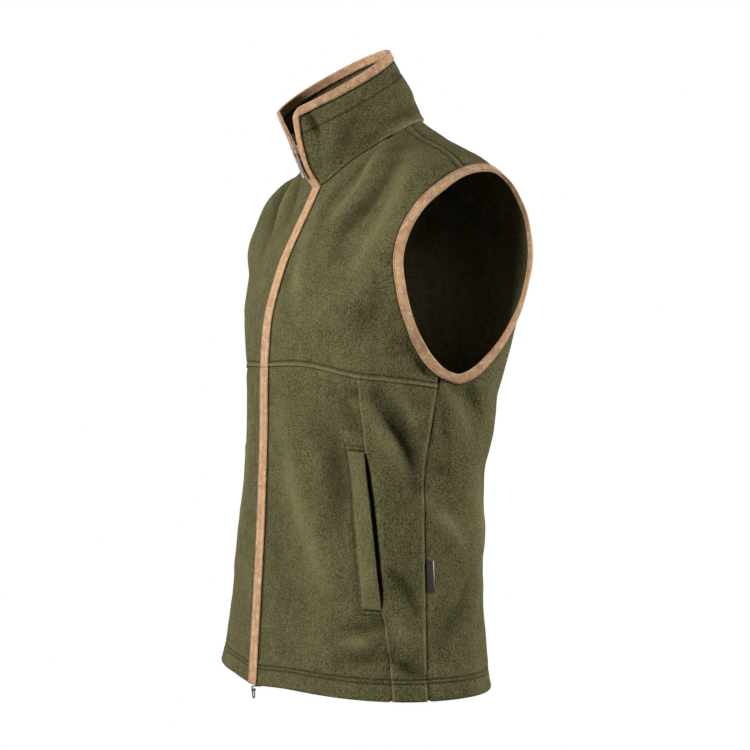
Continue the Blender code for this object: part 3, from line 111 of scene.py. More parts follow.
# Folds too small for the solids: half width and depth in millimetres, a ridge above 0, then
# the bearing and height of a few places that the fold runs through
CREASES = {
    "left": (
        # Folds that fan out from the neck and the shoulder
        (13, -4.5, (88, 0.628), (77, 0.595), (65, 0.549), (56, 0.527), (54, 0.505)),
        (8, 2.4, (86, 0.634), (71, 0.600), (61, 0.569), (49, 0.544)),
        (8, -2.6, (79, 0.625), (63, 0.600), (47, 0.578), (35, 0.546)),
        (12, 2.2, (89, 0.615), (78, 0.563), (68, 0.506), (63, 0.484)),
        (16, -2.6, (60, 0.408), (66, 0.425), (72, 0.445)),
        (6, -3.6, (82.7, 0.390), (85.7, 0.369), (90, 0.358)),
        (14, 1.8, (22, 0.560), (24, 0.500), (30, 0.440)),
        # Gathers under the chest seam
        (4, -1.2, (33, 0.358), (34, 0.342)),
        (4, -1.4, (40, 0.358), (41, 0.338)),
        (4, -1.3, (46, 0.358), (46, 0.341)),
        (5, -1.6, (53, 0.357), (55, 0.335)),
        (8, -2.8, (56, 0.331), (61, 0.315), (64, 0.298)),
        (7, -2.4, (60, 0.350), (63, 0.334)),
        # Side panel
        (11, -4.2, (72, 0.336), (77, 0.312), (80, 0.289), (81.5, 0.264), (82, 0.234)),
        (9, 2.4, (69, 0.318), (74, 0.289), (77, 0.264), (78.5, 0.228)),
        (7, 2.0, (80, 0.326), (84, 0.296)),
        (7, -4.5, (75, 0.140), (79, 0.122), (82, 0.098)),
        (9, 2.0, (72, 0.100), (76, 0.075), (78, 0.055)),
        (7, -4.5, (74, 0.044), (78, 0.034), (82, 0.026)),
        # Behind the side seam
        (8, -2.6, (98, 0.352), (102, 0.334), (106, 0.316)),
        (8, 2.6, (92, 0.342), (97, 0.321), (100, 0.300)),
        (6, -2.4, (90.5, 0.326), (91.5, 0.300), (93, 0.280)),
        (7, -2.6, (89.5, 0.256), (94, 0.243)),
        (10, 2.4, (87, 0.213), (92, 0.192), (98, 0.172)),
        (10, -3.0, (104, 0.128), (98, 0.104), (92, 0.080), (88, 0.052)),
        (14, 2.0, (108, 0.250), (112, 0.190), (114, 0.120)),
        (16, -1.6, (120, 0.332), (130, 0.340), (142, 0.344)),
        # Lower front
        (17, -4.6, (48, 0.305), (54, 0.265), (56, 0.225), (55.5, 0.190)),
        (13, 2.4, (21, 0.300), (29, 0.240), (43, 0.166), (51, 0.120)),
        (7, -4.2, (72, 0.084), (65, 0.077), (57, 0.073)),
        (6, 2.2, (72, 0.066), (66, 0.062), (58, 0.060)),
        (7, -3.6, (73, 0.048), (67, 0.044), (58, 0.042)),
        (16, -2.0, (14, 0.200), (22, 0.130), (38, 0.080)),
        # Collar
        (5, -6.0, (22, 0.669), (27, 0.658), (29, 0.643)),
        (6, -3.2, (140, 0.692), (122, 0.682), (100, 0.668), (86, 0.652)),
        (6, 2.6, (150, 0.672), (125, 0.664), (102, 0.654), (88, 0.640)),
        (9, -2.0, (70, 0.674), (61, 0.656), (54, 0.634), (50, 0.620)),
        (3.5, -1.8, (120, 0.729), (108, 0.722), (98, 0.717)),
        (14, -2.4, (165, 0.566), (152, 0.548), (136, 0.534)),
        (18, 2.0, (170, 0.430), (168, 0.330), (172, 0.240)),
        (16, -2.0, (150, 0.220), (146, 0.150), (150, 0.080)),
    ),
    "right": (
        (14, -4.0, (86, 0.624), (75, 0.590), (63, 0.552), (52, 0.520)),
        (9, 2.2, (84, 0.632), (69, 0.604), (58, 0.566), (47, 0.540)),
        (9, -2.4, (77, 0.622), (62, 0.602), (46, 0.574), (32, 0.548)),
        (12, 2.0, (88, 0.610), (77, 0.556), (69, 0.510), (65, 0.480)),
        (16, -2.2, (58, 0.414), (65, 0.422), (71, 0.438)),
        (7, -4.0, (80, 0.394), (84, 0.370), (87, 0.360)),
        (4, -1.3, (36, 0.358), (36, 0.344)),
        (4, -1.4, (44, 0.357), (45, 0.338)),
        (5, -1.6, (51, 0.357), (53, 0.338)),
        (8, -2.6, (55, 0.334), (60, 0.318), (63, 0.302)),
        (11, -3.8, (73, 0.334), (77, 0.306), (80, 0.276), (81, 0.244)),
        (9, 2.2, (69, 0.314), (74, 0.282), (77, 0.240)),
        (7, -4.0, (74, 0.132), (78, 0.116), (82, 0.102)),
        (7, -4.0, (74, 0.040), (79, 0.030), (83, 0.027)),
        (8, -3.6, (97, 0.350), (102, 0.330), (105, 0.312)),
        (8, 2.4, (92, 0.338), (98, 0.318), (101, 0.296)),
        (10, -2.8, (103, 0.122), (97, 0.100), (91, 0.074), (88, 0.056)),
        (15, -2.2, (116, 0.328), (130, 0.338), (143, 0.340)),
        (15, -3.6, (47, 0.300), (53, 0.262), (56, 0.218), (55, 0.186)),
        (13, 2.2, (24, 0.296), (31, 0.236), (41, 0.172), (49, 0.128)),
        (7, -3.8, (71, 0.080), (65, 0.074), (58, 0.075)),
        (7, -3.2, (72, 0.046), (66, 0.042), (59, 0.044)),
        (5, -5.0, (23, 0.667), (27, 0.656), (30, 0.645)),
        (6, -2.8, (138, 0.690), (120, 0.680), (98, 0.668), (88, 0.655)),
        (9, -1.8, (68, 0.672), (60, 0.652), (53, 0.632)),
        (14, -2.4, (160, 0.560), (150, 0.540), (135, 0.530)),
        (17, -2.2, (158, 0.300), (155, 0.220), (160, 0.140)),
    ),
}

# How slack the fleece hangs between its folds: height and size of the soft bumps
SLACK = ((1.2 * MM, 45 * MM), (0.5 * MM, 19 * MM))
# The height of a fold at which the painted highlight on a ridge, or the painted shade in a fold, is full
FULLY_RAISED = 6 * MM


def linear(code):
    """An sRGB hex code such as "#5c5c3c" as the linear colour that the shaders take."""
    parts = [int(code[k:k + 2], 16) / 255 for k in (1, 3, 5)]
    return [c / 12.92 if c <= 0.04045 else ((c + 0.055) / 1.055) ** 2.4 for c in parts]


def colour_property(name, description, code):
    return FloatVectorProperty(
        name=name, description=description, subtype="COLOR", size=3, min=0, max=1, default=linear(code)
    )


def length_property(name, description, millimetres):
    return FloatProperty(
        name=name, description=description, subtype="DISTANCE", unit="LENGTH", default=millimetres * MM
    )


def power_property(name, description, value):
    return FloatProperty(name=name, description=description, default=value, min=0)


class GiletColours(bpy.types.PropertyGroup):
    """Colours of the garment's cloths, leather, threads and metals."""

    fleece_lit: colour_property("Fleece fibre tips", "Colour of the raised fibres of the nap", "#7a7450")
    fleece_deep: colour_property("Fleece ground", "Colour between the tufts of the nap", "#2f2d1a")
    suede: colour_property("Suede", "Main colour of the split leather", "#d3ab7e")
    suede_warm: colour_property("Suede patches", "Pinkish patches where the dye took more", "#b88b6d")
    suede_pale: colour_property("Suede rub", "Pale places where the nap is rubbed", "#efd7b1")
    fleece_thread: colour_property("Fleece thread", "Thread of the topstitching", "#34361f")
    suede_thread: colour_property("Binding thread", "Thread that holds the binding", "#38231a")
    tape: colour_property("Zip tape", "Woven tape of the zip", "#3a2c20")
    teeth: colour_property("Zip teeth", "Nylon coil of the zip", "#2f241b")
    label: colour_property("Label", "Ground of the woven side label", "#120d09")
    label_edge: colour_property("Label edge", "Pale selvedge of the side label", "#c9bda0")
    silver: colour_property("Top slider", "Satin plating of the top slider and pull", "#aaa7a1")
    gunmetal: colour_property("Bottom slider", "Dark plating of the bottom slider and ring", "#6d6c6b")
    floor: colour_property("Floor", "Pale floor below the garment", "#f4f4f4")


class GiletSewing(bpy.types.PropertyGroup):
    """Sizes of the seams, folds and stitches."""

    seam_roll: length_property("Seam roll", "How far a panel's edge rolls into its seam", 1.2)
    seam_lip: length_property("Seam lip", "How far the side with the allowances stands proud", 1.1)
    row_sink: length_property("Row sink", "How far a row of stitches draws the fleece down", 1.0)
    pucker: length_property("Pucker", "Height of the puckers beside a seam", 0.9)
    stitch_pitch: length_property("Stitch pitch", "From one stitch to the next", 3.2)
    stitch_length: length_property("Stitch length", "Part of a stitch that shows", 2.4)
    thread_width: length_property("Thread width", "Width of the sewing thread", 0.5)
    binding_pitch: length_property("Binding pitch", "From one stitch of the binding to the next", 2.6)
    tooth_pitch: length_property("Tooth pitch", "From one turn of the zip's coil to the next", 1.6)
    nap: length_property("Nap", "Size of the fleece's tufts", 1.5)
    crease_strength: FloatProperty(
        name="Crease strength", description="Scales every small crease", default=1.45, min=0, max=3
    )


class GiletStudio(bpy.types.PropertyGroup):
    """Camera and lights."""

    bearing: FloatProperty(
        name="Bearing", description="Camera's turn round the garment", subtype="ANGLE",
        default=math.radians(62),
    )
    distance: length_property("Distance", "From the camera to the garment's axis", 2300)
    height: length_property("Height", "Camera's height above the hem", 361)
    lens: FloatProperty(name="Lens", description="Focal length in millimetres", default=90.5, min=10)
    sideways: length_property("Sideways", "How far the camera stands to the right", 24.4)
    key: power_property("Key light", "Power of the front softbox", 64)
    rim: power_property("Rim light", "Power of the softbox behind", 58)
    side: power_property("Side light", "Power of the narrow front softbox", 8)
    far: power_property("Far lights", "Power of each softbox on the far side", 16)
    room: power_property("Room light", "Strength of the even room light", 0.03)


def vectors_of(items, name):
    found = np.empty(len(items) * 3, np.float32)
    items.foreach_get(name, found)
    return found.reshape(-1, 3).astype(float)


def coordinates(mesh):
    return vectors_of(mesh.vertices, "co")


def normals_of(mesh):
    return vectors_of(mesh.vertex_normals, "vector")


def place(mesh, points):
    mesh.vertices.foreach_set("co", np.ascontiguousarray(points, np.float32).ravel())
    mesh.update()


def mark(mesh, name, values):
    """Keeps a value for each point, which a material reads."""
    mesh.attributes.new(name, "FLOAT", "POINT").data.foreach_set("value", values.astype(np.float32))


def unit(vectors):
    length = np.linalg.norm(vectors, axis=-1, keepdims=True)
    return vectors / np.maximum(length, 1e-12)


def linked(name, data):
    made = bpy.data.objects.new(name, data)
    bpy.context.scene.collection.objects.link(made)
    return made


def new_piece(name, bm):
    """A new object from a bmesh, at the origin with its place in its mesh."""
    mesh = bpy.data.meshes.new(name)
    bm.to_mesh(mesh)
    bm.free()
    return linked(name, mesh)


def finished(piece, material, node=None, body=BODY):
    """Gives a piece its material, hides the solid it stands for and hangs it on the body it rides on."""
    piece.data.materials.clear()
    piece.data.materials.append(material)
    if node:
        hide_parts(node)
    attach(piece, body)


def shaded_by_angle(piece, degrees):
    """Smooth faces with hard lines only where they meet at more than this angle."""
    piece.data.shade_smooth()
    piece.data.set_sharp_from_angle(angle=math.radians(degrees))


def applied(piece):
    """Gives the piece the mesh that its modifiers make, and takes them off."""
    graph = bpy.context.evaluated_depsgraph_get()
    made = bpy.data.meshes.new_from_object(piece.evaluated_get(graph), depsgraph=graph)
    old = piece.data
    piece.modifiers.clear()
    piece.data = made
    bpy.data.meshes.remove(old)
    return piece


def through_points(piece, levels, rounds=7):
    """Subdivides a piece smoothly, so that its surface runs through the frame's own points."""
    rest = coordinates(piece.data)
    cage = rest.copy()
    smooth = piece.modifiers.new("smooth", "SUBSURF")
    smooth.boundary_smooth = "PRESERVE_CORNERS"
    smooth.levels = smooth.render_levels = 1
    for _ in range(rounds):
        graph = bpy.context.evaluated_depsgraph_get()
        found = coordinates(piece.evaluated_get(graph).data)[:len(rest)]
        cage += rest - found
        place(piece.data, cage)
    smooth.levels = smooth.render_levels = levels
    return applied(piece)


def merged_copy(node):
    """The node's mesh with its loose triangles joined up, as a bmesh."""
    bm = bmesh.new()
    bm.from_mesh(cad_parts[node].data)
    bmesh.ops.remove_doubles(bm, verts=bm.verts, dist=0.01 * MM)
    return bm


def sharp_edges(bm, degrees):
    limit = math.radians(degrees)
    return [edge for edge in bm.edges if edge.is_manifold and edge.calc_face_angle() > limit]


def rounded(bm, edges, width, segments=2):
    bmesh.ops.bevel(
        bm, geom=edges, offset=width, offset_type="OFFSET", segments=segments, profile=0.5,
        affect="EDGES", material=-1, clamp_overlap=True,
    )


def corners_kept(bm, degrees):
    """Quads whose sharp edges stay sharp when the piece is made smooth."""
    crease = bm.edges.layers.float.new("crease_edge")
    for edge in sharp_edges(bm, degrees):
        edge[crease] = 1.0
    to_quads(bm)
    return bm


def smooth_groups(bm, angle):
    """Faces that meet without a sharp edge, as lists, the largest area first."""
    seen, groups = set(), []
    for face in bm.faces:
        if face in seen:
            continue
        seen.add(face)
        group, waiting = [], [face]
        while waiting:
            here = waiting.pop()
            group.append(here)
            for edge in here.edges:
                if not edge.is_manifold or edge.calc_face_angle() > angle:
                    continue
                for other in edge.link_faces:
                    if other not in seen:
                        seen.add(other)
                        waiting.append(other)
        groups.append(group)
    return sorted(groups, key=lambda group: -sum(face.calc_area() for face in group))


# The body's core, which every outer side below the shoulders faces away from. Above
# NECK_FROM it is the neck's upright axis
CORE_HALF_WIDTH = 0.12
CORE_Y = -0.035
CORE_TOP = -0.12
NECK_FROM = -0.02

# Corners sharper than CLOTH_CORNER part a cloth's outer side from its walls. A narrow face
# that meets the outer side at less than RIM_CORNER, on two edges or more, belongs to it
CLOTH_CORNER = math.radians(45)
RIM_CORNER = math.radians(70)
# The corner of strips and tapes in degrees, and the fewest faces along one of their sides
STRIP_CORNER = 50
FEWEST_ALONG = 12


def outwardness(group):
    """Positive for the side of a cloth that faces away from the body."""
    total = 0.0
    for face in group:
        middle = face.calc_center_median()
        wide = CORE_HALF_WIDTH if middle.z < NECK_FROM else 0.0
        level = min(middle.z, CORE_TOP) if middle.z < 0 else 0.99 * middle.z
        inside = Vector((max(-wide, min(wide, middle.x)), CORE_Y, level))
        total += face.calc_area() * face.normal.dot(middle - inside)
    return total


def to_quads(bm):
    bmesh.ops.join_triangles(
        bm, faces=bm.faces[:],
        angle_face_threshold=math.radians(50), angle_shape_threshold=math.radians(80),
    )


def outer_side(node):
    """Only the outer side of a cloth node, in quads."""
    bm = merged_copy(node)
    kept = set(max(smooth_groups(bm, CLOTH_CORNER)[:2], key=outwardness))
    for face in bm.faces:
        meets = [edge for edge in face.edges if any(o in kept for o in edge.link_faces if o is not face)]
        if len(meets) > 1 and all(edge.calc_face_angle() < RIM_CORNER for edge in meets):
            kept.add(face)
    bmesh.ops.delete(bm, geom=[face for face in bm.faces if face not in kept], context="FACES")
    to_quads(bm)
    return bm


def walk(edges):
    """Orders edges end to end, as lists of vertices. A loop doesn't repeat its first one."""
    links = {}
    for edge in edges:
        first, last = edge.verts
        for a, b in ((first, last), (last, first)):
            links.setdefault(a, []).append(b)
    ends = [v for v, near in links.items() if len(near) != 2]
    done, chains = set(), []
    for start in ends + list(links):
        for after in links[start]:
            if frozenset((start, after)) in done:
                continue
            chain = [start, after]
            done.add(frozenset((start, after)))
            while len(links[chain[-1]]) == 2 and chain[-1] is not start:
                a, b = links[chain[-1]]
                further = b if a is chain[-2] else a
                step = frozenset((chain[-1], further))
                if step in done:
                    break
                done.add(step)
                chain.append(further)
            if chain[-1] is chain[0]:
                chain.pop()
            chains.append(chain)
    return chains


def edge_round(bm):
    """The corners round an open surface, in order."""
    return max(walk([edge for edge in bm.edges if edge.is_boundary]), key=len)


@functools.cache
def border(node):
    """The corner points round a panel's outer side, in order."""
    bm = outer_side(node)
    points = np.array([v.co for v in edge_round(bm)])
    bm.free()
    return points


@functools.cache
def closed_border(node):
    """A panel's border at even steps: three columns of places, three of outward directions."""
    bm = outer_side(node)
    bm.normal_update()
    rows = np.array([(*v.co, *v.normal) for v in edge_round(bm)])
    bm.free()
    return straight_line(np.concatenate([rows, rows[:1]]))


def runs(points, chosen, shortest=12 * MM):
    """The stretches of a closed line whose points are all chosen, longest first."""
    if chosen.all():
        return [np.concatenate([points, points[:1]])]
    found, run = [], []
    start = int(np.argmin(chosen))
    for k in [*np.roll(np.arange(len(points)), -start), start]:
        if chosen[k]:
            run.append(k)
            continue
        if len(run) > 1:
            found.append(points[run])
        run = []
    found = [line for line in found if length_of(line) > shortest]
    return sorted(found, key=length_of, reverse=True)


def length_of(line):
    return np.linalg.norm(np.diff(line, axis=0), axis=1).sum()


def distances_along(line):
    """How far each point of a line lies from its start."""
    return np.r_[0, np.cumsum(np.linalg.norm(np.diff(line[:, :3], axis=0), axis=1))]


def read_at(places, at, values):
    """Each column of the values at places between those that they are known at."""
    return np.stack([np.interp(places, at, column) for column in values.T], axis=-1)


@functools.cache
def seams(node, other, reach=2 * MM):
    """The lines where a panel's border lies along another panel's."""
    own = border(node)
    away = near_line(own, closed_border(other)[:, :3])[0]
    return [smooth_line(line) for line in runs(own, away < reach)]


@functools.cache
def hem_line(node):
    own = border(node)
    return smooth_line(runs(own, own[:, 2] < HEM_Z + 0.5 * MM)[0])


@functools.cache
def binding_points(node):
    bm = merged_copy(node)
    points = np.array([v.co for v in bm.verts])
    bm.free()
    return points


@functools.cache
def bound_edges(node, binding):
    """The panel's cut edges inside a binding."""
    own = border(node)
    away = np.linalg.norm(own[:, None] - binding_points(binding)[None], axis=-1).min(axis=1)
    return [smooth_line(without_hooks(line)) for line in runs(own, away < 1.2 * MM)]


def without_hooks(line, shortest=12 * MM):
    """A run without the short stretches past a sharp corner at its ends."""
    for _ in ("start", "end"):
        steps = unit(np.diff(line, axis=0))
        sharp = np.nonzero((steps[1:] * steps[:-1]).sum(-1) < 0.5)[0]
        if len(sharp) and length_of(line[:sharp[0] + 2]) < shortest:
            line = line[sharp[0] + 1:]
        line = line[::-1]
    return line


def straight_line(points, step=2 * MM):
    """Straight runs between the points, read at even steps."""
    at = distances_along(points)
    return read_at(np.linspace(0, at[-1], max(int(at[-1] / step), 2) + 1), at, points)


def smooth_line(points, step=1.5 * MM, closed=False):
    """A natural cubic curve through points, read at even steps."""
    if closed:
        points = np.concatenate([points[-3:], points, points[:3]])
    lengths = np.linalg.norm(np.diff(points, axis=0), axis=1)
    points = points[np.r_[True, lengths > 1e-6]]
    lengths = lengths[lengths > 1e-6]
    at = np.r_[0, np.cumsum(lengths)]
    count = len(points)
    slopes = np.diff(points, axis=0) / lengths[:, None]
    matrix, wanted = np.eye(count), np.zeros((count, 3))
    for k in range(1, count - 1):
        matrix[k, k - 1:k + 2] = lengths[k - 1], 2 * (lengths[k - 1] + lengths[k]), lengths[k]
        wanted[k] = 6 * (slopes[k] - slopes[k - 1])
    bend = np.linalg.solve(matrix, wanted)
    low, high = (at[3], at[-3]) if closed else (0.0, at[-1])
    places = np.linspace(low, high, max(int((high - low) / step), 2) + 1)
    k = np.clip(np.searchsorted(at, places, side="right") - 1, 0, count - 2)
    span = lengths[k][:, None]
    b = (places - at[k])[:, None] / span
    a = 1 - b
    curve = a * points[k] + b * points[k + 1]
    return curve + ((a**3 - a) * bend[k] + (b**3 - b) * bend[k + 1]) * span**2 / 6


def near_line(points, line):
    """Each point's distance to a line of evenly spaced points, with how far along it the nearest
    place is, and that place."""
    tree = KDTree(len(line))
    for k, point in enumerate(line):
        tree.insert(point, k)
    tree.balance()
    nearest = np.array([tree.find(p)[1] for p in points])
    before = distances_along(line)
    distance, along = np.full(len(points), np.inf), np.zeros(len(points))
    place_on = np.zeros((len(points), 3))
    for start in (np.maximum(nearest - 1, 0), np.minimum(nearest, len(line) - 2)):
        run = line[start + 1] - line[start]
        share = ((points - line[start]) * run).sum(-1) / np.maximum((run**2).sum(-1), 1e-18)
        share = np.clip(share, 0, 1)
        there = line[start] + share[:, None] * run
        away = np.linalg.norm(points - there, axis=-1)
        closer = away < distance
        distance[closer], place_on[closer] = away[closer], there[closer]
        along[closer] = (before[start] + share * (before[start + 1] - before[start]))[closer]
    return distance, along, place_on


# A line of sewing on a panel: how far inside the line a row lies, and the border that a seam
# joins, with columns of places and of outward directions. Kinds are proud and under (the two
# sides of a seam: the allowances lie under the proud one), hold (a neighbour's bound edge,
# where folds end), edge (a bound edge), row (topstitching), fold (the hem's lower edge),
# ditch (along a pocket welt) and pad (a welt's own border)
Line = namedtuple("Line", "kind points inset joins", defaults=[0.0, None])


def offset_rows(points, *insets):
    return [Line("row", points, inset * MM) for inset in insets]


# How far rows lie from their seam, edge or hem, in millimetres
CHEST_ROW = 6.2
SHOULDER_ROW = 8.0
HEM_ROWS = (19.4, 24.0)
COLLAR_ROW = 29.0
# Where the collar's row starts, and the box and the ditch round a pocket's welt
COLLAR_ROW_START = 12 * MM
BOX_OUTSIDE = 6.0 * MM
WELT_DITCH = 0.6 * MM


def round_welt(word, outside):
    """Three sides round a pocket welt, from its lower corner to its upper one."""
    corners = sorted(border("pocket_welt_" + word), key=lambda p: p[2])
    low = sorted(corners[:2], key=lambda p: abs(p[0]))
    high = sorted(corners[-2:], key=lambda p: abs(p[0]))
    up = unit(high[0] - low[0]) * outside
    in_low = unit(low[0] - low[1]) * outside
    in_high = unit(high[0] - high[1]) * outside
    path = straight_line(np.array([low[1] - up, low[0] - up + in_low, high[0] + up + in_high, high[1] + up]))
    return np.array([frame_surface().find_nearest(Vector(point))[0] for point in path])


PANELS = [cut.node for cut in FLEECE_CUTS if not cut.node.startswith("pocket")]
PROUDEST_FIRST = ("collar", "front_upper", "front_side", "back", "front_lower")


def stands_proud(node, other):
    def place_of(name):
        return [name.startswith(start) for start in PROUDEST_FIRST].index(True)

    return place_of(node) < place_of(other)


@functools.cache
def lines_of(node):
    """All the lines of sewing on a panel."""
    word = node.rsplit("_", 1)[-1]
    if node.startswith("pocket_welt"):
        own = border(node)
        return [Line("pad", straight_line(np.concatenate([own, own[:1]])))]
    if node.startswith("pocket_bag"):
        return []
    away_side = {"left": "right", "right": "left"}.get(word, "none")
    lines = []
    for other in PANELS:
        if other == node or other.endswith(away_side):
            continue
        kind = "proud" if stands_proud(node, other) else "under"
        joining = seams(node, other)
        lines += [Line(kind, run, 0, closed_border(other)) for run in joining]
        if joining:
            lines += bound_lines("hold", other)
    lines += bound_lines("edge", node)
    if node == "collar":
        return lines + offset_rows(collar_top(), COLLAR_ROW)
    if node.startswith("front_upper"):
        chest = joined(seams(node, "front_lower_" + word)[0], seams(node, "front_side_" + word)[0])
        shoulder = max(seams(node, "back"), key=lambda line: line[:, 2].mean())
        return lines + offset_rows(chest, CHEST_ROW) + offset_rows(shoulder, SHOULDER_ROW)
    hem = hem_line(node)
    lines += [Line("fold", hem)] + offset_rows(hem, *HEM_ROWS)
    if node.startswith("front_lower"):
        lines.append(Line("row", round_welt(word, BOX_OUTSIDE)))
        lines.append(Line("ditch", round_welt(word, WELT_DITCH)))
    return lines


def bound_lines(kind, node):
    return [Line(kind, run) for strip in BINDING_STRIPS for run in bound_edges(node, strip.node)]


def collar_top():
    """The collar's upper cut edge, from one front corner to the other."""
    edge = bound_edges("collar", "binding_collar")[0]
    rise = np.abs(np.gradient(edge[:, 2]))
    steep = rise > 0.75 * np.linalg.norm(np.gradient(edge, axis=0), axis=1)
    middle = len(edge) // 2
    first = max(np.nonzero(steep[:middle])[0], default=0)
    last = min(np.nonzero(steep[middle:])[0], default=len(edge) - middle) + middle
    margin = int(COLLAR_ROW_START / length_of(edge) * len(edge))
    return edge[first + margin:last - margin]


def joined(a, b):
    """Two lines that share an end, as one line."""
    pairs = [(a, b), (a, b[::-1]), (a[::-1], b), (a[::-1], b[::-1])]
    first, second = min(pairs, key=lambda pair: np.linalg.norm(pair[0][-1] - pair[1][0]))
    return np.concatenate([first, second[1:]])


def wave(points, size):
    """Smooth noise from -1 to 1 with bumps of about this size."""
    return np.array([noise.noise(Vector(p) / size) for p in points])


@functools.cache
def surface_of(*nodes):
    """The outer sides of some panels as one surface, to drop lines onto."""
    points, faces = [], []
    for node in nodes:
        bm = outer_side(node)
        bm.verts.ensure_lookup_table()
        faces += [[v.index + len(points) for v in face.verts] for face in bm.faces]
        points += [v.co.copy() for v in bm.verts]
        bm.free()
    return BVHTree.FromPolygons(points, faces)


def frame_surface():
    return surface_of(*PANELS)


# Where a place that the upright line's own level misses, as over a shoulder, is looked for
SHOULDER_REACH = 0.13


def on_cloth(side, bearing, height):
    """Where a line from the upright axis meets the cloth, at a bearing from the front."""
    turn = math.radians(bearing)
    start = Vector((0, AXIS_Y, HEM_Z + height))
    aim = Vector((math.sin(turn) * (1 if side == "left" else -1), -math.cos(turn), 0))
    found = frame_surface().ray_cast(start, aim)[0]
    return np.array(found or frame_surface().find_nearest(start + aim * SHOULDER_REACH)[0])


@functools.cache
def crease_lines():
    """The folds as lines on the cloth, with their half widths and depths."""
    found = []
    for side, creases in CREASES.items():
        for half_width, depth, *places in creases:
            line = smooth_line(np.array([on_cloth(side, *at) for at in places]), 4 * MM)
            found.append((line, half_width * MM, depth * MM))
    return found


def ridge(away, half_width):
    """1 on a line, falling off smoothly to either side of it."""
    return np.exp(-((away / half_width) ** 2))


def crease_lift(points):
    """How far the folds lift each point, with every fold fading out toward its ends."""
    lift = np.zeros(len(points))
    for line, half_width, depth in crease_lines():
        reach = 0.5 * length_of(line) + 3 * half_width
        near = np.linalg.norm(points - line.mean(axis=0), axis=1) < reach
        if near.any():
            away, along, _ = near_line(points[near], line)
            fade = np.sin(np.pi * np.clip(along / length_of(line), 0.10, 0.90)) ** 0.6
            lift[near] += depth * fade * ridge(away, half_width)
    return lift


def refined(piece, lines, reach, passes):
    """Cuts the cells near the lines of sewing smaller, so that their grooves have form."""
    bm = bmesh.new()
    bm.from_mesh(piece.data)
    for k in range(passes):
        bm.verts.ensure_lookup_table()
        points = np.array([v.co for v in bm.verts])
        near = np.zeros(len(points), bool)
        for line in lines:
            away = near_line(points, line.points)[0]
            near |= np.abs(away - line.inset) < reach / 1.7**k
        edges = [edge for edge in bm.edges if near[edge.verts[0].index] and near[edge.verts[1].index]]
        bmesh.ops.subdivide_edges(bm, edges=edges, cuts=1, use_grid_fill=True)
        bm.verts.index_update()
    bm.to_mesh(piece.data)
    bm.free()


# The two sides of a seam: how much further its border sinks, how widely it rolls down and is
# flattened and darkened by painted shade, how much of the gap it closes, and how far it reaches
# past its neighbour's border
SeamSide = namedtuple("SeamSide", "sink rolled pressed closed underlap")
SEAM_SIDES = {
    "proud": SeamSide(0.0, 1.0 * MM, 0.7 * MM, 0.6, 0.0),
    "under": SeamSide(0.5 * MM, 2.4 * MM, 1.3 * MM, 1.0, 1.8 * MM),
}
LARGEST_GAP = 1.2 * MM
# How far from a seam its shape is looked at, half the width of what is drawn over to the
# neighbour and of what stands out the same way as it, and how strongly the seam darkens the
# nap: flattened nap with painted shade
SEAM_REACH = 15 * MM
SEAM_DRAWN = 2.5 * MM
SEAM_SHARED = 6 * MM
SEAM_PRESS_AND_SHADE = 0.85
# The allowances under a proud side: a lip this wide with a foot this wide, and a painted highlight along its
# crest
LIP_WIDTH = 4.5 * MM
LIP_FOOT = 0.9 * MM
CREST_FROM_SEAM = 2 * MM
CREST_WIDTH = 1.5 * MM
CREST_PAINTED_LIGHT = 0.7
# Puckers beside a seam and a binding: their size along it and how far they reach
PUCKER_SIZE = 10 * MM
PUCKER_REACH = 9 * MM
BOUND_PUCKER_SIZE = 8 * MM
BOUND_PUCKER_REACH = 7 * MM
# Half widths of a row's groove, of the ditch round a welt and its painted shade, of the
# dark line that a binding presses and shades and of the hem's rounded fold
ROW_WIDTH = 1.15 * MM
DITCH_WIDTH = 1.5 * MM
DITCH_PRESS_AND_SHADE = 1.3 * MM
BOUND_MARK = 1.6 * MM
FOLD_ROUND = 1.5 * MM
# How strongly a row darkens the nap, against 1 beside a welt or a binding: flattened nap
# with painted shade in the groove
ROW_PRESS_AND_SHADE = 0.8
# A welt's padding: its height over this width, how low the rim starts, and how much painted highlight it
# gets
WELT_PAD = 1.3 * MM
WELT_PAD_WIDTH = 5 * MM
WELT_RIM = 0.3 * MM
WELT_PAINTED_LIGHT = 0.35
# How far the fleece is squeezed under a binding, and how far off a binding folds are whole
BOUND_SINK = 0.75 * MM
FOLD_GROWTH = 4 * MM


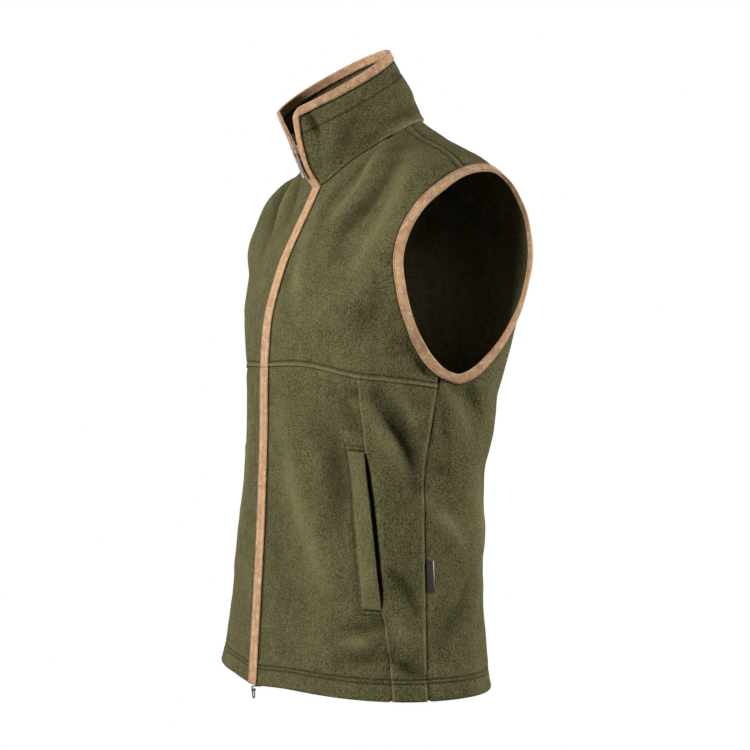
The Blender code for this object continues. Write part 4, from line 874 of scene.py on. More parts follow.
class SewnPanel:
    """A panel's points, and what each kind of sewing does to them."""

    def __init__(self, mesh, sewing):
        self.sewing, self.points, self.normals = sewing, coordinates(mesh), normals_of(mesh)
        self.outward = self.normals.copy()
        self.folds = sewing.crease_strength * crease_lift(self.points)
        for height, size in SLACK:
            self.folds += height * wave(self.points, size)
        # The fold height sets the painted highlight on ridges and the painted shade in folds
        self.raised = self.folds / FULLY_RAISED
        self.shift = np.zeros_like(self.points)
        self.lift, self.pressed = np.zeros(len(self.points)), np.zeros(len(self.points))
        self.held, self.thick = np.ones(len(self.points)), np.full(len(self.points), ONE_LAYER)

    # Darkens the nap where it is flattened, with painted shade in seams, rows and grooves
    def press(self, amount):
        self.pressed = np.maximum(self.pressed, amount)

    def row(self, line, away, there):
        groove = ridge(away - line.inset, ROW_WIDTH)
        self.lift -= self.sewing.row_sink * groove
        # Flattened nap with painted shade in the row's groove
        self.press(ROW_PRESS_AND_SHADE * groove)

    def seam(self, line, away, there):
        gather = wave(there, PUCKER_SIZE) * np.exp(-away / PUCKER_REACH)
        self.lift += self.sewing.pucker * gather * np.clip(away / (3 * MM), 0.15, 1)
        if line.kind == "proud":
            self.lift += self.sewing.seam_lip * (ridge(away, LIP_WIDTH) - ridge(away, LIP_FOOT))
            # A painted highlight along the crest of the lip
            self.raised += CREST_PAINTED_LIGHT * ridge(away - CREST_FROM_SEAM, CREST_WIDTH)
        side = SEAM_SIDES[line.kind]
        self.lift -= (self.sewing.seam_roll + side.sink) * ridge(away, side.rolled)
        # Flattened nap with painted shade along the seam
        self.press(SEAM_PRESS_AND_SHADE * ridge(away, side.pressed))
        beside = away < SEAM_REACH
        self.close(line, side, beside, away[beside], there[beside])

    def close(self, line, side, beside, away, there):
        """Draws a border to its neighbour's, and lets both stand out the same way there."""
        _, along, meets = near_line(self.points[beside], line.joins[:, :3])
        partner = read_at(along, distances_along(line.joins), line.joins[:, 3:])
        shared = unit(self.normals[beside] + partner)
        reach = meets - there
        reach -= (reach * shared).sum(-1)[:, None] * shared
        gap = np.maximum(np.linalg.norm(reach, axis=1), 1e-9)
        move = np.minimum(gap, LARGEST_GAP) * side.closed + side.underlap
        self.shift[beside] += reach * (move / gap * ridge(away, SEAM_DRAWN))[:, None]
        share = ridge(away, SEAM_SHARED)[:, None]
        self.outward[beside] = unit(self.outward[beside] * (1 - share) + shared * share)

    proud = under = seam

    def hold(self, line, away, there):
        self.held = np.minimum(self.held, np.clip((away - BINDING_FACE) / FOLD_GROWTH, 0, 1))

    def ditch(self, line, away, there):
        self.lift -= 1.2 * self.sewing.row_sink * ridge(away, DITCH_WIDTH)
        # Painted shade in the groove beside the welt
        self.press(ridge(away, DITCH_PRESS_AND_SHADE))

    def pad(self, line, away, there):
        self.lift += WELT_PAD * np.clip(away / WELT_PAD_WIDTH, 0, 1) ** 0.5 - WELT_RIM
        # The whole welt gets a painted highlight
        self.raised += WELT_PAINTED_LIGHT

    def edge(self, line, away, there):
        """Thins the fleece under the binding, and puckers it beside the binding's face."""
        self.hold(line, away, there)
        covered = np.clip((BINDING_FACE + 1.5 * MM - away) / (2.5 * MM), 0, 1)
        self.lift -= BOUND_SINK * covered
        self.thick -= (ONE_LAYER - UNDER_BINDING) * covered
        gather = wave(there, BOUND_PUCKER_SIZE) * np.exp(-np.abs(away - BINDING_FACE) / BOUND_PUCKER_REACH)
        self.lift += 0.5 * self.sewing.pucker * gather * (1 - covered)
        # Painted shade in the dark line along the binding's face, with flattened nap
        self.press(ridge(away - BINDING_FACE, BOUND_MARK))

    def fold(self, line, away, there):
        """Rounds the hem's lower edge and doubles the cloth above it."""
        self.lift -= 1.0 * MM * ridge(away, FOLD_ROUND)
        self.thick = np.maximum(self.thick, np.clip((HEM_DOUBLE - away) / (2 * MM), 0, 1))

    def keep(self, piece):
        """Puts the points where the sewing has moved them, with what the materials read."""
        lift = self.lift + self.folds * self.held
        place(piece.data, self.points + self.outward * lift[:, None] + self.shift)
        group = piece.vertex_groups.new(name="thickness")
        for k, weight in enumerate(self.thick):
            group.add([k], float(weight), "REPLACE")
        # For the material: how dark flattened nap and painted shade make each point, and the painted
        # highlight or shade from folds, crests and welts
        mark(piece.data, "pressed", self.pressed)
        mark(piece.data, "raised", np.clip(self.raised, -1, 1))


# How far from a line of sewing the cells are cut smaller, and the radius of a panel's rims
REFINED_REACH = 7.5 * MM
RIM_RADIUS = 0.7 * MM

SURFACES = {}


def remember_surface(piece):
    """Keeps a piece's outer side, to lay stitches on."""
    mesh = piece.data
    faces = [list(face.vertices) for face in mesh.polygons]
    SURFACES[piece.name] = BVHTree.FromPolygons([v.co.copy() for v in mesh.vertices], faces)


def soft_rims(piece, width):
    """Rounds the cut or folded rims of a shell."""
    rim = piece.modifiers.new("rim", "BEVEL")
    rim.width = width
    rim.segments = 2
    rim.limit_method = "ANGLE"
    rim.angle_limit = math.radians(55)
    rim.use_clamp_overlap = True


def fleece_piece(cut, sewing, material):
    """One fleece panel: its packed outer side made smooth, sewn, and given its thickness."""
    piece = through_points(new_piece("cloth_" + cut.node, outer_side(cut.node)), 2)
    lines = lines_of(cut.node)
    if lines:
        refined(piece, [line for line in lines if line.kind != "hold"], REFINED_REACH, 2)
    panel = SewnPanel(piece.data, sewing)
    for line in lines:
        away, _, there = near_line(panel.points, line.points)
        getattr(panel, line.kind)(line, away, there)
    panel.keep(piece)
    remember_surface(piece)
    piece.data.shade_smooth()
    wall = piece.modifiers.new("wall", "SOLIDIFY")
    wall.offset = -1
    wall.use_even_offset = False
    if cut.node.startswith("pocket_bag"):
        wall.thickness = BAG_THICKNESS
    else:
        wall.thickness = HEM_THICKNESS
        wall.vertex_group = "thickness"
        soft_rims(piece, RIM_RADIUS)
    finished(piece, material, cut.node)


def add(tree, kind, settings=None, links=None):
    """Adds a shader node, sets its values and links its inputs."""
    node = tree.nodes.new(kind)
    for name, value in (settings or {}).items():
        if name in node.inputs:
            node.inputs[name].default_value = value
        else:
            setattr(node, name, value)
    for name, source in (links or {}).items():
        tree.links.new(source, node.inputs[name])
    return node


def blank_material(name):
    material = bpy.data.materials.new(name)
    material.use_nodes = True
    tree = material.node_tree
    shader = tree.nodes["Principled BSDF"]
    coords = add(tree, "ShaderNodeTexCoord").outputs["Object"]
    return material, tree, shader, coords


def speckle(tree, coords, size, detail=2.0, low=0.35, high=0.65):
    """Noise whose bumps are this many metres wide, stretched to use its whole range."""
    made = add(tree, "ShaderNodeTexNoise", {"Scale": 1 / size, "Detail": detail}, {"Vector": coords})
    spread = {"From Min": low, "From Max": high}
    return add(tree, "ShaderNodeMapRange", spread, {"Value": made.outputs["Fac"]}).outputs["Result"]


def marked(tree, name):
    """What the sewing has marked on the points under this name."""
    return add(tree, "ShaderNodeAttribute", {"attribute_name": name}).outputs["Fac"]


def mixed(tree, share, first, second):
    """A colour between two, which are colours or sockets."""
    node = add(tree, "ShaderNodeMix", {"data_type": "RGBA"})
    for socket, value in ((node.inputs[0], share), (node.inputs[6], first), (node.inputs[7], second)):
        if isinstance(value, bpy.types.NodeSocket):
            tree.links.new(value, socket)
        elif isinstance(value, float):
            socket.default_value = value
        else:
            socket.default_value = (*value, 1)
    return node.outputs[2]


def arithmetic(tree, operation, first, second=0.0):
    node = add(tree, "ShaderNodeMath", {"operation": operation})
    for socket, value in zip(node.inputs, (first, second)):
        if isinstance(value, bpy.types.NodeSocket):
            tree.links.new(value, socket)
        else:
            socket.default_value = value
    return node.outputs[0]


def times(tree, value, factor):
    return arithmetic(tree, "MULTIPLY", value, factor)


def total(tree, first, *others):
    for other in others:
        first = arithmetic(tree, "ADD", first, other)
    return first


def shade(colour, factor):
    """A colour so many times as light."""
    return [factor * c for c in colour]


def colour_of(name):
    return list(getattr(bpy.context.scene.gilet_colours, name))


def bump(tree, shader, height, distance, strength=1.0):
    made = add(tree, "ShaderNodeBump", {"Strength": strength, "Distance": distance}, {"Height": height})
    tree.links.new(made.outputs["Normal"], shader.inputs["Normal"])


@functools.cache
def brushed_fleece():
    """Polyester fleece, knitted and brushed: a short dull nap of tufts that catches light at
    grazing angles. Ridges, seam crests and pocket welts get a painted highlight and folds painted
    shade. Sewn lines are darkest, from flattened nap with painted shade in their grooves."""
    colours, sewing = bpy.context.scene.gilet_colours, bpy.context.scene.gilet_sewing
    material, tree, shader, coords = blank_material("brushed_polyester_fleece")
    tufts = speckle(tree, coords, sewing.nap, 3.0)
    patches = speckle(tree, coords, 14 * MM)
    pilling = speckle(tree, coords, 3.4 * MM, 2.0, 0.3, 0.7)
    share = total(tree, times(tree, tufts, 0.8), times(tree, patches, 0.16), times(tree, pilling, 0.22))
    colour = mixed(tree, share, colours.fleece_deep, colours.fleece_lit)
    # Lit and shaded copies of the nap's colours, for painted highlight and painted shade
    pale, dark = shade(colours.fleece_lit, 1.75), shade(colours.fleece_deep, 0.30)
    # Painted highlight on ridges, seam crests and welts, and painted shade in folds
    raised = marked(tree, "raised")
    painted_ridge_light = arithmetic(tree, "MAXIMUM", times(tree, raised, 0.55), 0.0)
    painted_fold_shade = arithmetic(tree, "MAXIMUM", times(tree, raised, -0.55), 0.0)
    colour = mixed(tree, painted_ridge_light, colour, pale)
    colour = mixed(tree, painted_fold_shade, colour, dark)
    # Darkest along sewn lines: flattened nap with painted shade
    colour = mixed(tree, times(tree, marked(tree, "pressed"), 0.78), colour, dark)
    tree.links.new(colour, shader.inputs["Base Color"])
    shader.inputs["Roughness"].default_value = 0.95
    shader.inputs["Specular IOR Level"].default_value = 0.02
    shader.inputs["Sheen Weight"].default_value = 0.16
    shader.inputs["Sheen Roughness"].default_value = 0.45
    shader.inputs["Sheen Tint"].default_value = (*linear("#a5a27c"), 1)
    bump(tree, shader, total(tree, tufts, times(tree, pilling, 0.8)), 0.9 * MM, 0.9)
    return material


@functools.cache
def napped_suede():
    """Split leather, dyed and buffed: a fine matt nap with uneven pinkish and pale patches."""
    colours = bpy.context.scene.gilet_colours
    material, tree, shader, coords = blank_material("napped_split_suede")
    patches = speckle(tree, coords, 9 * MM, 4.0, 0.38, 0.62)
    rub = speckle(tree, coords, 4.5 * MM, 3.0, 0.52, 0.70)
    grain = speckle(tree, coords, 0.9 * MM, 3.0)
    colour = mixed(tree, patches, colours.suede, colours.suede_warm)
    colour = mixed(tree, times(tree, rub, 0.75), colour, colours.suede_pale)
    colour = mixed(tree, times(tree, grain, 0.28), colour, shade(colours.suede_warm, 0.55))
    # Painted shade along the binding's free edges and in the dip of its stitches
    pressed = times(tree, marked(tree, "pressed"), 0.92)
    colour = mixed(tree, pressed, colour, shade(colours.suede_warm, 0.2))
    tree.links.new(colour, shader.inputs["Base Color"])
    shader.inputs["Roughness"].default_value = 0.85
    shader.inputs["Specular IOR Level"].default_value = 0.05
    shader.inputs["Sheen Weight"].default_value = 0.2
    shader.inputs["Sheen Roughness"].default_value = 0.4
    bump(tree, shader, total(tree, grain, times(tree, rub, 0.6)), 0.35 * MM, 0.6)
    return material


@functools.cache
def spun_thread(name, base):
    """Corespun polyester thread: soft, with a slight lustre along its twist."""
    material, tree, shader, coords = blank_material(name)
    strands = speckle(tree, coords, 0.8 * MM)
    colour = mixed(tree, times(tree, strands, 0.5), colour_of(base), shade(colour_of(base), 1.7))
    tree.links.new(colour, shader.inputs["Base Color"])
    shader.inputs["Roughness"].default_value = 0.6
    bump(tree, shader, strands, 0.12 * MM, 0.5)
    return material


# From one yarn of the woven tapes to the next, which is wider than it really is, to show
YARN = 0.6 * MM


@functools.cache
def woven_tape(name, base):
    """Narrow woven polyester: fine raised yarns across the tape, with a little fuzz."""
    material, tree, shader, coords = blank_material(name)
    bands = {"Scale": 0.5 / YARN, "Distortion": 0.6, "bands_direction": "Z", "Detail": 1.0}
    weave = add(tree, "ShaderNodeTexWave", bands, {"Vector": coords}).outputs["Fac"]
    fuzz = speckle(tree, coords, 1.2 * MM)
    share = total(tree, times(tree, weave, 0.5), times(tree, fuzz, 0.3))
    colour = mixed(tree, share, colour_of(base), shade(colour_of(base), 1.8))
    tree.links.new(colour, shader.inputs["Base Color"])
    shader.inputs["Roughness"].default_value = 0.8
    bump(tree, shader, weave, 0.15 * MM, 0.6)
    return material


@functools.cache
def moulded_nylon():
    """Nylon monofilament coil: smooth, a little glossy, with a faint mottle."""
    material, tree, shader, coords = blank_material("nylon_coil")
    mottle = speckle(tree, coords, 2.5 * MM)
    colour = mixed(tree, mottle, colour_of("teeth"), shade(colour_of("teeth"), 1.5))
    tree.links.new(colour, shader.inputs["Base Color"])
    shader.inputs["Roughness"].default_value = 0.38
    shader.inputs["IOR"].default_value = 1.53
    bump(tree, shader, mottle, 0.05 * MM, 0.3)
    return material


@functools.cache
def plated_zinc(name, base, roughness):
    """Die-cast zinc, tumbled and plated: a satin shine with fine scuffs and duller hollows."""
    material, tree, shader, coords = blank_material(name)
    scuffs = speckle(tree, coords, 1.6 * MM, 5.0, 0.3, 0.7)
    grain = speckle(tree, coords, 0.35 * MM)
    colour = mixed(tree, times(tree, scuffs, 0.4), colour_of(base), shade(colour_of(base), 0.7))
    tree.links.new(colour, shader.inputs["Base Color"])
    shader.inputs["Metallic"].default_value = 1.0
    dullness = {"To Min": roughness - 0.08, "To Max": roughness + 0.14}
    rough = add(tree, "ShaderNodeMapRange", dullness, {"Value": scuffs}).outputs["Result"]
    tree.links.new(rough, shader.inputs["Roughness"])
    bump(tree, shader, grain, 0.03 * MM, 0.4)
    return material


# The floor lies so far below the garment that the photograph's frame misses it
FLOOR_Z = -1.5
FLOOR_RADIUS = 3.4


@functools.cache
def opal_floor():
    """Opal acrylic floor of a product studio, lit from below and most at its rim, so that it
    runs into the white room without a line."""
    material, tree, shader, coords = blank_material("opal_acrylic_floor")
    cloudy = speckle(tree, coords, 40 * MM)
    colour = mixed(tree, cloudy, colour_of("floor"), shade(colour_of("floor"), 0.985))
    tree.links.new(colour, shader.inputs["Base Color"])
    flat = add(tree, "ShaderNodeVectorMath", {"operation": "MULTIPLY"}, {0: coords})
    flat.inputs[1].default_value = (1, 1, 0)
    out = add(tree, "ShaderNodeVectorMath", {"operation": "LENGTH"}, {0: flat.outputs["Vector"]})
    brighter = {"From Min": 0.0, "From Max": 0.9 * FLOOR_RADIUS, "To Min": 0.7, "To Max": 1.0}
    glow = add(tree, "ShaderNodeMapRange", brighter, {"Value": out.outputs["Value"]})
    tree.links.new(glow.outputs["Result"], shader.inputs["Emission Strength"])
    shader.inputs["Emission Color"].default_value = (1, 1, 1, 1)
    shader.inputs["Roughness"].default_value = 0.9
    shader.inputs["Specular IOR Level"].default_value = 0.0
    return material


@functools.cache
def cloth_inside():
    """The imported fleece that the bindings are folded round."""
    points, faces = [], []
    for node in PANELS:
        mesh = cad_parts[node].data
        faces += [[k + len(points) for k in face.vertices] for face in mesh.polygons]
        points += [v.co.copy() for v in mesh.vertices]
    return BVHTree.FromPolygons(points, faces)


def folded_strip(node, levels):
    """A binding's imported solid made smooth, with its outside marked from 0 at the free edges
    to 1 at the fold. Also the lines of its stitches."""
    bm = merged_copy(node)
    outside = {v for v in bm.verts if cloth_inside().find_nearest(v.co)[3] > SUEDE_OUTSIDE}
    groups = smooth_groups(bm, math.radians(STRIP_CORNER))
    groups = [group for group in groups if len(group) > FEWEST_ALONG]
    long_faces = {face for group in groups for face in group}
    free, paths = set(), []
    for rim in groups[-2:]:
        faces = set(rim)
        edges = [
            edge for edge in bm.edges
            if outside.issuperset(edge.verts) and long_faces.issuperset(edge.link_faces)
            and sum(face in faces for face in edge.link_faces) == 1
        ]
        chain = max(walk(edges), key=len)
        free.update(chain)
        path = []
        for vert in chain:
            normal = sum((face.normal for face in vert.link_faces if face in faces), Vector())
            path.append(vert.co - normal.normalized() * BINDING_STITCH)
        paths.append(smooth_line(np.array(path), closed="armhole" in node))
    across = bm.verts.layers.float.new("across")
    for vert in bm.verts:
        vert[across] = float(vert in outside and vert not in free)
    name = node.replace("binding", "suede")
    return through_points(new_piece(name, corners_kept(bm, 65)), levels), paths


# How far the suede swells, ripples and dips at its stitches, how large the ripples are, and
# how far across from the free edge to the fold the stitches lie
SUEDE_SWELL = 0.8 * MM
SUEDE_RIPPLE = 0.75 * MM
SUEDE_DIP = 0.5 * MM
RIPPLE_SIZE = 3.4 * MM
STITCHES_ACROSS = 0.14


def pad_strip(piece):
    """Lets the suede swell between its stitches and its fold, and ripple a little, and marks
    painted shade along its free edges and in the dip of its stitches.
    """
    points, normals = coordinates(piece.data), normals_of(piece.data)
    across = np.empty(len(points), np.float32)
    piece.data.attributes["across"].data.foreach_get("value", across)
    outside = across > 0
    swell = np.clip(4 * across * (1 - across), 0, 1) ** 0.8 * outside
    ripple = wave(points, RIPPLE_SIZE) * outside
    dip = ridge(across - STITCHES_ACROSS, 0.10) * outside
    lift = SUEDE_SWELL * swell + SUEDE_RIPPLE * ripple - SUEDE_DIP * dip
    place(piece.data, points + normals * lift[:, None])
    # Painted shade in the stitches' dip and along the free edges
    mark(piece.data, "pressed", np.maximum(dip, ridge(across, 0.08) * outside))


BINDING_ROWS = {}


def binding_piece(strip, material):
    piece, paths = folded_strip(strip.node, 3)
    pad_strip(piece)
    BINDING_ROWS[piece.name] = paths
    remember_surface(piece)
    shaded_by_angle(piece, STRIP_CORNER)
    finished(piece, material, strip.node)


def onto_surface(surface, points):
    found = [surface.find_nearest(Vector(point))[:2] for point in points]
    return np.array([place_on for place_on, _ in found]), np.array([up for _, up in found])


def inward_path(surface, points, inset):
    """Moves a line sideways over a surface, onto the side where the surface is."""
    tangent = unit(np.gradient(points, axis=0))
    across = unit(np.cross(onto_surface(surface, points)[1], tangent))

    def miss(sign):
        probes = points + across * sign * (inset + 3 * MM)
        return sum(surface.find_nearest(Vector(p))[3] for p in probes[::4])

    sign = 1 if miss(1) < miss(-1) else -1
    moved = points + across * sign * inset
    for _ in range(3):
        found, ups = onto_surface(surface, moved)
        moved = points + unit(found - points) * inset
    return found, ups


def shape_of(bm):
    """A small shape's points and faces, for copies of it."""
    points = np.array([v.co for v in bm.verts])
    faces = [[v.index for v in face.verts] for face in bm.faces]
    bm.free()
    return points, faces


def stitch_shape(length, width, sides):
    """One stitch: a short rod whose tapered ends dip into the cloth."""
    bm = bmesh.new()
    bmesh.ops.create_uvsphere(bm, u_segments=sides, v_segments=4, radius=1.0)
    for vert in bm.verts:
        dips = 0.55 if abs(vert.co.z) > 0.5 else 0.0
        vert.co.z = math.copysign(length / 2 * (abs(vert.co.z) ** 0.5), vert.co.z) if vert.co.z else 0.0
        vert.co.x *= width / 2
        vert.co.y *= width / 2 * 0.8
        vert.co.y -= dips * width * 0.5 * (abs(vert.co.z) / (length / 2)) ** 2
    return shape_of(bm)


def along_path(points, ups, pitch, start=0.5):
    """Places, directions and normals at even steps along a path."""
    at = distances_along(points)
    places = np.arange(start * pitch, at[-1], pitch)
    ahead = read_at(places + 0.5 * MM, at, points)
    behind = read_at(places - 0.5 * MM, at, points)
    along = unit(ahead - behind)
    side = unit(np.cross(unit(read_at(places, at, ups)), along))
    return read_at(places, at, points), along, np.cross(along, side), side


class Rows:
    """Gathers repeated small shapes into one mesh."""

    def __init__(self, shape):
        self.shape_points, self.shape_faces = shape
        self.points, self.count = [], 0

    def put(self, here, along, up, side, lift=0.0):
        """A copy at each place: the shape's z runs along the path and its y is up."""
        axes = np.stack([side, up, along], axis=1)
        copies = self.shape_points @ axes + (here + up * lift)[:, None]
        self.points.append(copies.reshape(-1, 3))
        self.count += len(here)

    def piece(self, name, material, slot):
        size = len(self.shape_points)
        faces = [[k + size * n for k in face] for n in range(self.count) for face in self.shape_faces]
        mesh = bpy.data.meshes.new(name)
        mesh.from_pydata(np.concatenate(self.points).tolist(), [], faces)
        mesh.shade_smooth()
        finished(linked(name, mesh), material)


# How far a thread stands off the cloth, and the size of a stitch in the binding
THREAD_LIFT = 0.1 * MM
BINDING_STITCH_LENGTH = 1.7 * MM
BINDING_THREAD = 0.9 * MM


def sew(rows, surface, path, pitch, inset=0.0):
    """Lays stitches on a surface along a path, or along one that is inset from it."""
    moved, ups = inward_path(surface, path, inset) if inset else onto_surface(surface, path)
    rows.put(*along_path(moved, ups, pitch), lift=THREAD_LIFT)


class GILET_OT_fleece(bpy.types.Operator):
    """Builds every fleece panel, the collar, the pocket welts and the pocket bags"""

    bl_idname = "gilet.fleece"
    bl_label = "Fleece panels"

    def execute(self, context):
        for cut in FLEECE_CUTS:
            fleece_piece(cut, context.scene.gilet_sewing, brushed_fleece())
        return {"FINISHED"}


class GILET_OT_bindings(bpy.types.Operator):
    """Folds the suede strips round the collar, fronts and armholes"""

    bl_idname = "gilet.bindings"
    bl_label = "Suede bindings"

    def execute(self, context):
        for strip in BINDING_STRIPS:
            binding_piece(strip, napped_suede())
        return {"FINISHED"}


class GILET_OT_stitching(bpy.types.Operator):
    """Sews the topstitching on the fleece and the rows that hold the bindings"""

    bl_idname = "gilet.stitching"
    bl_label = "Stitching"

    def execute(self, context):
        sewing = context.scene.gilet_sewing
        rows = Rows(stitch_shape(sewing.stitch_length, sewing.thread_width, 6))
        for cut in FLEECE_CUTS:
            for line in lines_of(cut.node):
                if line.kind == "row":
                    surface = SURFACES["cloth_" + cut.node]
                    sew(rows, surface, line.points, sewing.stitch_pitch, line.inset)
        rows.piece("stitches_fleece", spun_thread("olive_thread", "fleece_thread"), "fleece")
        rows = Rows(stitch_shape(BINDING_STITCH_LENGTH, BINDING_THREAD, 4))
        for name, paths in BINDING_ROWS.items():
            for path in paths:
                sew(rows, SURFACES[name], path, sewing.binding_pitch)
        rows.piece("stitches_binding", spun_thread("brown_thread", "suede_thread"), "suede")
        return {"FINISHED"}


def tape_edge(node):
    """The front and the back corner of a zip tape's inner edge, each as a line going up."""
    bm = merged_copy(node)
    chains = [chain for chain in walk(sharp_edges(bm, STRIP_CORNER)) if len(chain) > FEWEST_ALONG]
    lines = [np.array([v.co for v in chain]) for chain in chains]
    bm.free()
    inner = sorted(lines, key=lambda line: np.abs(line[:, 0]).mean())[:2]
    inner = [line if line[0, 2] < line[-1, 2] else line[::-1] for line in inner]
    return [smooth_line(line) for line in sorted(inner, key=lambda line: line[:, 1].mean())]


# One turn of the coil: its width across the tape, its depth and its height. Then the gap
# between the two coils, and how far back on the tape's edge they sit, from 0 to 1
TURN = (2.5 * MM, 2.1 * MM, 1.05 * MM)
COIL_GAP = 0.7 * MM
COIL_BACK = 0.45


def turn_shape():
    """One turn of the coil round the tape's edge: a rounded block as wide as the coil."""
    bm = bmesh.new()
    bmesh.ops.create_cube(bm, size=1.0)
    bmesh.ops.scale(bm, vec=TURN, verts=bm.verts)
    rounded(bm, bm.edges[:], 0.3 * MM, 1)
    return shape_of(bm)


class GILET_OT_zip(bpy.types.Operator):
    """Weaves the two tapes and winds the coil along them"""

    bl_idname = "gilet.zip"
    bl_label = "Zip"

    def execute(self, context):
        for side, sign, start in (("left", 1, 0.5), ("right", -1, 1.0)):
            node = "zip_tape_" + side
            bm = corners_kept(merged_copy(node), STRIP_CORNER)
            piece = through_points(new_piece("woven_" + node, bm), 2)
            shaded_by_angle(piece, STRIP_CORNER)
            finished(piece, woven_tape("woven_zip_tape", "tape"), node)
            self.coil(side, sign, start, context.scene.gilet_sewing.tooth_pitch)
        return {"FINISHED"}

    @staticmethod
    def coil(side, sign, start, pitch):
        """Turns of one coil, which lie between those of the other."""
        front, behind = tape_edge("zip_tape_" + side)
        count = min(len(front), len(behind))
        middle = front[:count] * (1 - COIL_BACK) + behind[:count] * COIL_BACK
        middle[:, 0] = sign * (COIL_GAP / 2 + TURN[0] / 2)
        rows = Rows(turn_shape())
        rows.put(*along_path(middle, unit(front[:count] - behind[:count]), pitch, start))
        rows.piece("coil_" + side, moulded_nylon(), "zip_tape")


def flat_faced(node, degrees=1):
    """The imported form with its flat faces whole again."""
    bm = merged_copy(node)
    bmesh.ops.dissolve_limit(bm, angle_limit=math.radians(degrees), verts=bm.verts, edges=bm.edges)
    return bm


class GILET_OT_sliders(bpy.types.Operator):
    """Casts the two sliders, the pull tab and the small ring"""

    bl_idname = "gilet.sliders"
    bl_label = "Sliders and pulls"

    def execute(self, context):
        silver = plated_zinc("satin_plated_zinc", "silver", 0.34)
        dark = plated_zinc("gunmetal_plated_zinc", "gunmetal", 0.36)
        finished(self.slider("top_slider"), silver, "top_slider")
        finished(self.tab(), silver, "top_pull", "top_pull")
        finished(self.slider("bottom_slider"), dark, "bottom_slider")
        finished(self.ring(), dark, "bottom_pull", "bottom_pull")
        return {"FINISHED"}

    @staticmethod
    def slider(node):
        """A small casting with its edges rounded."""
        bm = flat_faced(node)
        rounded(bm, sharp_edges(bm, 20), 0.3 * MM)
        piece = new_piece("cast_" + node, bm)
        shaded_by_angle(piece, 40)
        return piece

    @staticmethod
    def tab():
        """The pull tab, with a raised rim round a plain sunken face on both sides."""
        bm = flat_faced("top_pull")
        large = sorted(bm.faces, key=lambda face: -face.calc_area())[:2]
        bmesh.ops.inset_individual(bm, faces=large, thickness=0.65 * MM, depth=-0.18 * MM)
        rounded(bm, sharp_edges(bm, 35), 0.14 * MM)
        piece = new_piece("cast_top_pull", bm)
        shaded_by_angle(piece, 40)
        return piece

    @staticmethod
    def ring():
        """The drawn wire ring, with its eight-sided section made round."""
        bm = merged_copy("bottom_pull")
        to_quads(bm)
        piece = through_points(new_piece("wire_bottom_pull", bm), 2)
        piece.data.shade_smooth()
        return piece


# Width of the label's pale rear edge
SELVEDGE = 1.5 * MM


class GILET_OT_label(bpy.types.Operator):
    """Folds the blank woven label into the left side seam"""

    bl_idname = "gilet.label"
    bl_label = "Side label"

    def execute(self, context):
        bm = flat_faced("side_label", 3)
        rounded(bm, sharp_edges(bm, 50), 0.3 * MM)
        rear = max(v.co.y for v in bm.verts) - SELVEDGE
        whole = bm.verts[:] + bm.edges[:] + bm.faces[:]
        bmesh.ops.bisect_plane(bm, geom=whole, plane_co=(0, rear, 0), plane_no=(0, 1, 0))
        piece = new_piece("woven_side_label", bm)
        shaded_by_angle(piece, 40)
        finished(piece, woven_tape("damask_label", "label"), "side_label")
        piece.data.materials.append(woven_tape("label_selvedge", "label_edge"))
        for face in piece.data.polygons:
            face.material_index = int(face.center.y > rear)
        return {"FINISHED"}


# How bright the metal mirrors the room, against 1 for what the camera sees
MIRRORED_ROOM = 0.55

# Square softboxes round the garment: each one's turn from the camera in degrees, its height
# over the point that all are aimed at, and the setting of its power
Softbox = namedtuple("Softbox", "name turn height power")
SOFTBOXES = (
    Softbox("key_softbox", -50, 0.6, "key"),
    Softbox("side_softbox", -108, 0.3, "side"),
    Softbox("rim_softbox", 82, 0.4, "rim"),
    Softbox("far_right_softbox", -152, 0.5, "far"),
    Softbox("far_back_softbox", 142, 0.5, "far"),
)
SOFTBOX_SIZE = 0.9
SOFTBOX_AWAY = 2.3
AIM = Vector((0, AXIS_Y, -0.25))


def toward(turn):
    """The level direction at this turn from straight ahead, to the wearer's left."""
    return Vector((math.sin(turn), -math.cos(turn), 0))


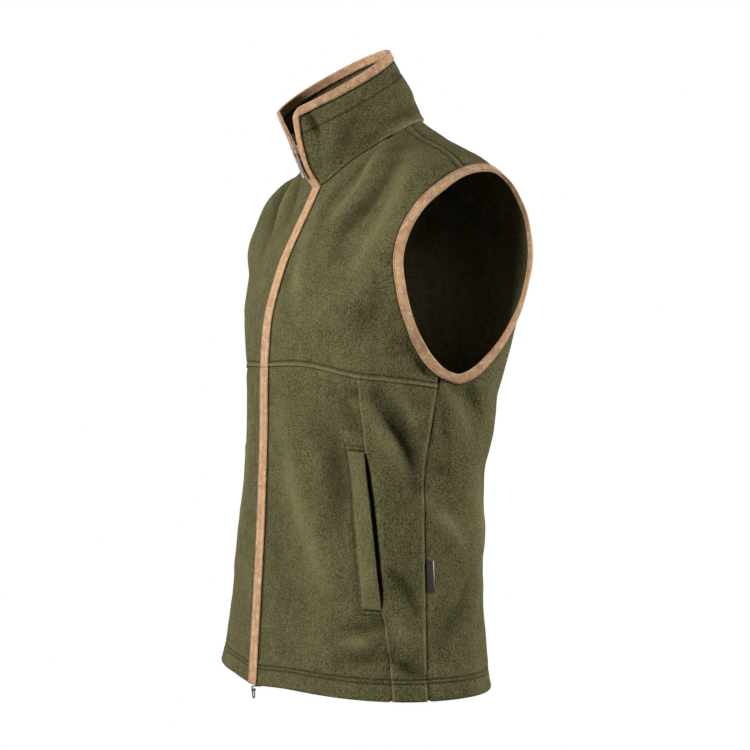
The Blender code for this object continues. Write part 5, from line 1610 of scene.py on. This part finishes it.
class GILET_OT_studio(bpy.types.Operator):
    """Sets up the floor, the white room, the softboxes and the camera"""

    bl_idname = "gilet.studio"
    bl_label = "Studio"

    def execute(self, context):
        studio = context.scene.gilet_studio
        self.floor()
        self.room(context, studio)
        for box in SOFTBOXES:
            self.softbox(box, studio)
        self.camera(context, studio)
        return {"FINISHED"}

    @staticmethod
    def floor():
        """A round pale floor that gives the garment no light and no reflection."""
        bm = bmesh.new()
        bmesh.ops.create_circle(bm, cap_ends=True, segments=128, radius=FLOOR_RADIUS)
        bmesh.ops.translate(bm, vec=(0, 0, FLOOR_Z), verts=bm.verts)
        bm.normal_update()
        bmesh.ops.reverse_faces(bm, faces=[face for face in bm.faces if face.normal.z < 0])
        floor = new_piece("studio_floor", bm)
        floor.data.materials.append(opal_floor())
        floor.visible_diffuse = False
        floor.visible_glossy = False

    @staticmethod
    def room(context, studio):
        """A room that the camera sees as white and the metal mirrors, with little light of its own."""
        world = bpy.data.worlds.new("studio_room")
        world.use_nodes = True
        tree = world.node_tree
        rays = add(tree, "ShaderNodeLightPath").outputs
        mirrored = times(tree, rays["Is Glossy Ray"], MIRRORED_ROOM)
        seen = arithmetic(tree, "MAXIMUM", rays["Is Camera Ray"], mirrored)
        strength = add(tree, "ShaderNodeMapRange", {"To Min": studio.room, "To Max": 1.0}, {"Value": seen})
        sky = tree.nodes["Background"]
        sky.inputs["Color"].default_value = (1, 1, 1, 1)
        tree.links.new(strength.outputs["Result"], sky.inputs["Strength"])
        context.scene.world = world
        context.scene.view_settings.view_transform = "Standard"

    @staticmethod
    def softbox(box, studio):
        """A square softbox aimed at the middle of the garment, out of the camera's sight."""
        light = bpy.data.lights.new(box.name, "AREA")
        light.shape = "SQUARE"
        light.size = SOFTBOX_SIZE
        light.energy = getattr(studio, box.power)
        lamp = linked(box.name, light)
        side = toward(studio.bearing + math.radians(box.turn))
        lamp.location = AIM + side * SOFTBOX_AWAY + Vector((0, 0, box.height))
        lamp.rotation_euler = (AIM - lamp.location).to_track_quat("-Z", "Y").to_euler()
        lamp.visible_camera = False

    @staticmethod
    def camera(context, studio):
        data = bpy.data.cameras.new("camera")
        data.lens = studio.lens
        data.sensor_width = 36
        data.clip_end = 50
        camera = linked("camera", data)
        ahead, right = toward(studio.bearing), toward(studio.bearing + math.radians(90))
        axis = Vector((0, AXIS_Y, HEM_Z + studio.height))
        camera.location = axis + ahead * studio.distance + right * studio.sideways
        camera.rotation_euler = (-ahead).to_track_quat("-Z", "Y").to_euler()
        context.scene.camera = camera


OPERATORS = (
    GILET_OT_fleece,
    GILET_OT_bindings,
    GILET_OT_zip,
    GILET_OT_sliders,
    GILET_OT_label,
    GILET_OT_stitching,
    GILET_OT_studio,
)


class GILET_PT_panel(bpy.types.Panel):
    """Lists the steps and the main sizes and colours"""

    bl_label = "Gilet"
    bl_idname = "GILET_PT_panel"
    bl_space_type = "VIEW_3D"
    bl_region_type = "UI"
    bl_category = "Gilet"

    def draw(self, context):
        for group in (context.scene.gilet_colours, context.scene.gilet_sewing, context.scene.gilet_studio):
            box = self.layout.box()
            for name in group.__annotations__:
                box.prop(group, name)
        for operator in OPERATORS:
            self.layout.operator(operator.bl_idname)


CLASSES = (GiletColours, GiletSewing, GiletStudio, *OPERATORS, GILET_PT_panel)


def register():
    for cls in CLASSES:
        bpy.utils.register_class(cls)
    bpy.types.Scene.gilet_colours = PointerProperty(type=GiletColours)
    bpy.types.Scene.gilet_sewing = PointerProperty(type=GiletSewing)
    bpy.types.Scene.gilet_studio = PointerProperty(type=GiletStudio)


def unregister():
    del bpy.types.Scene.gilet_colours
    del bpy.types.Scene.gilet_sewing
    del bpy.types.Scene.gilet_studio
    for cls in reversed(CLASSES):
        bpy.utils.unregister_class(cls)


def main():
    register()
    bpy.ops.gilet.fleece()
    bpy.ops.gilet.bindings()
    bpy.ops.gilet.zip()
    bpy.ops.gilet.sliders()
    bpy.ops.gilet.label()
    bpy.ops.gilet.stitching()
    bpy.ops.gilet.studio()


if __name__ == "__main__":
    main()
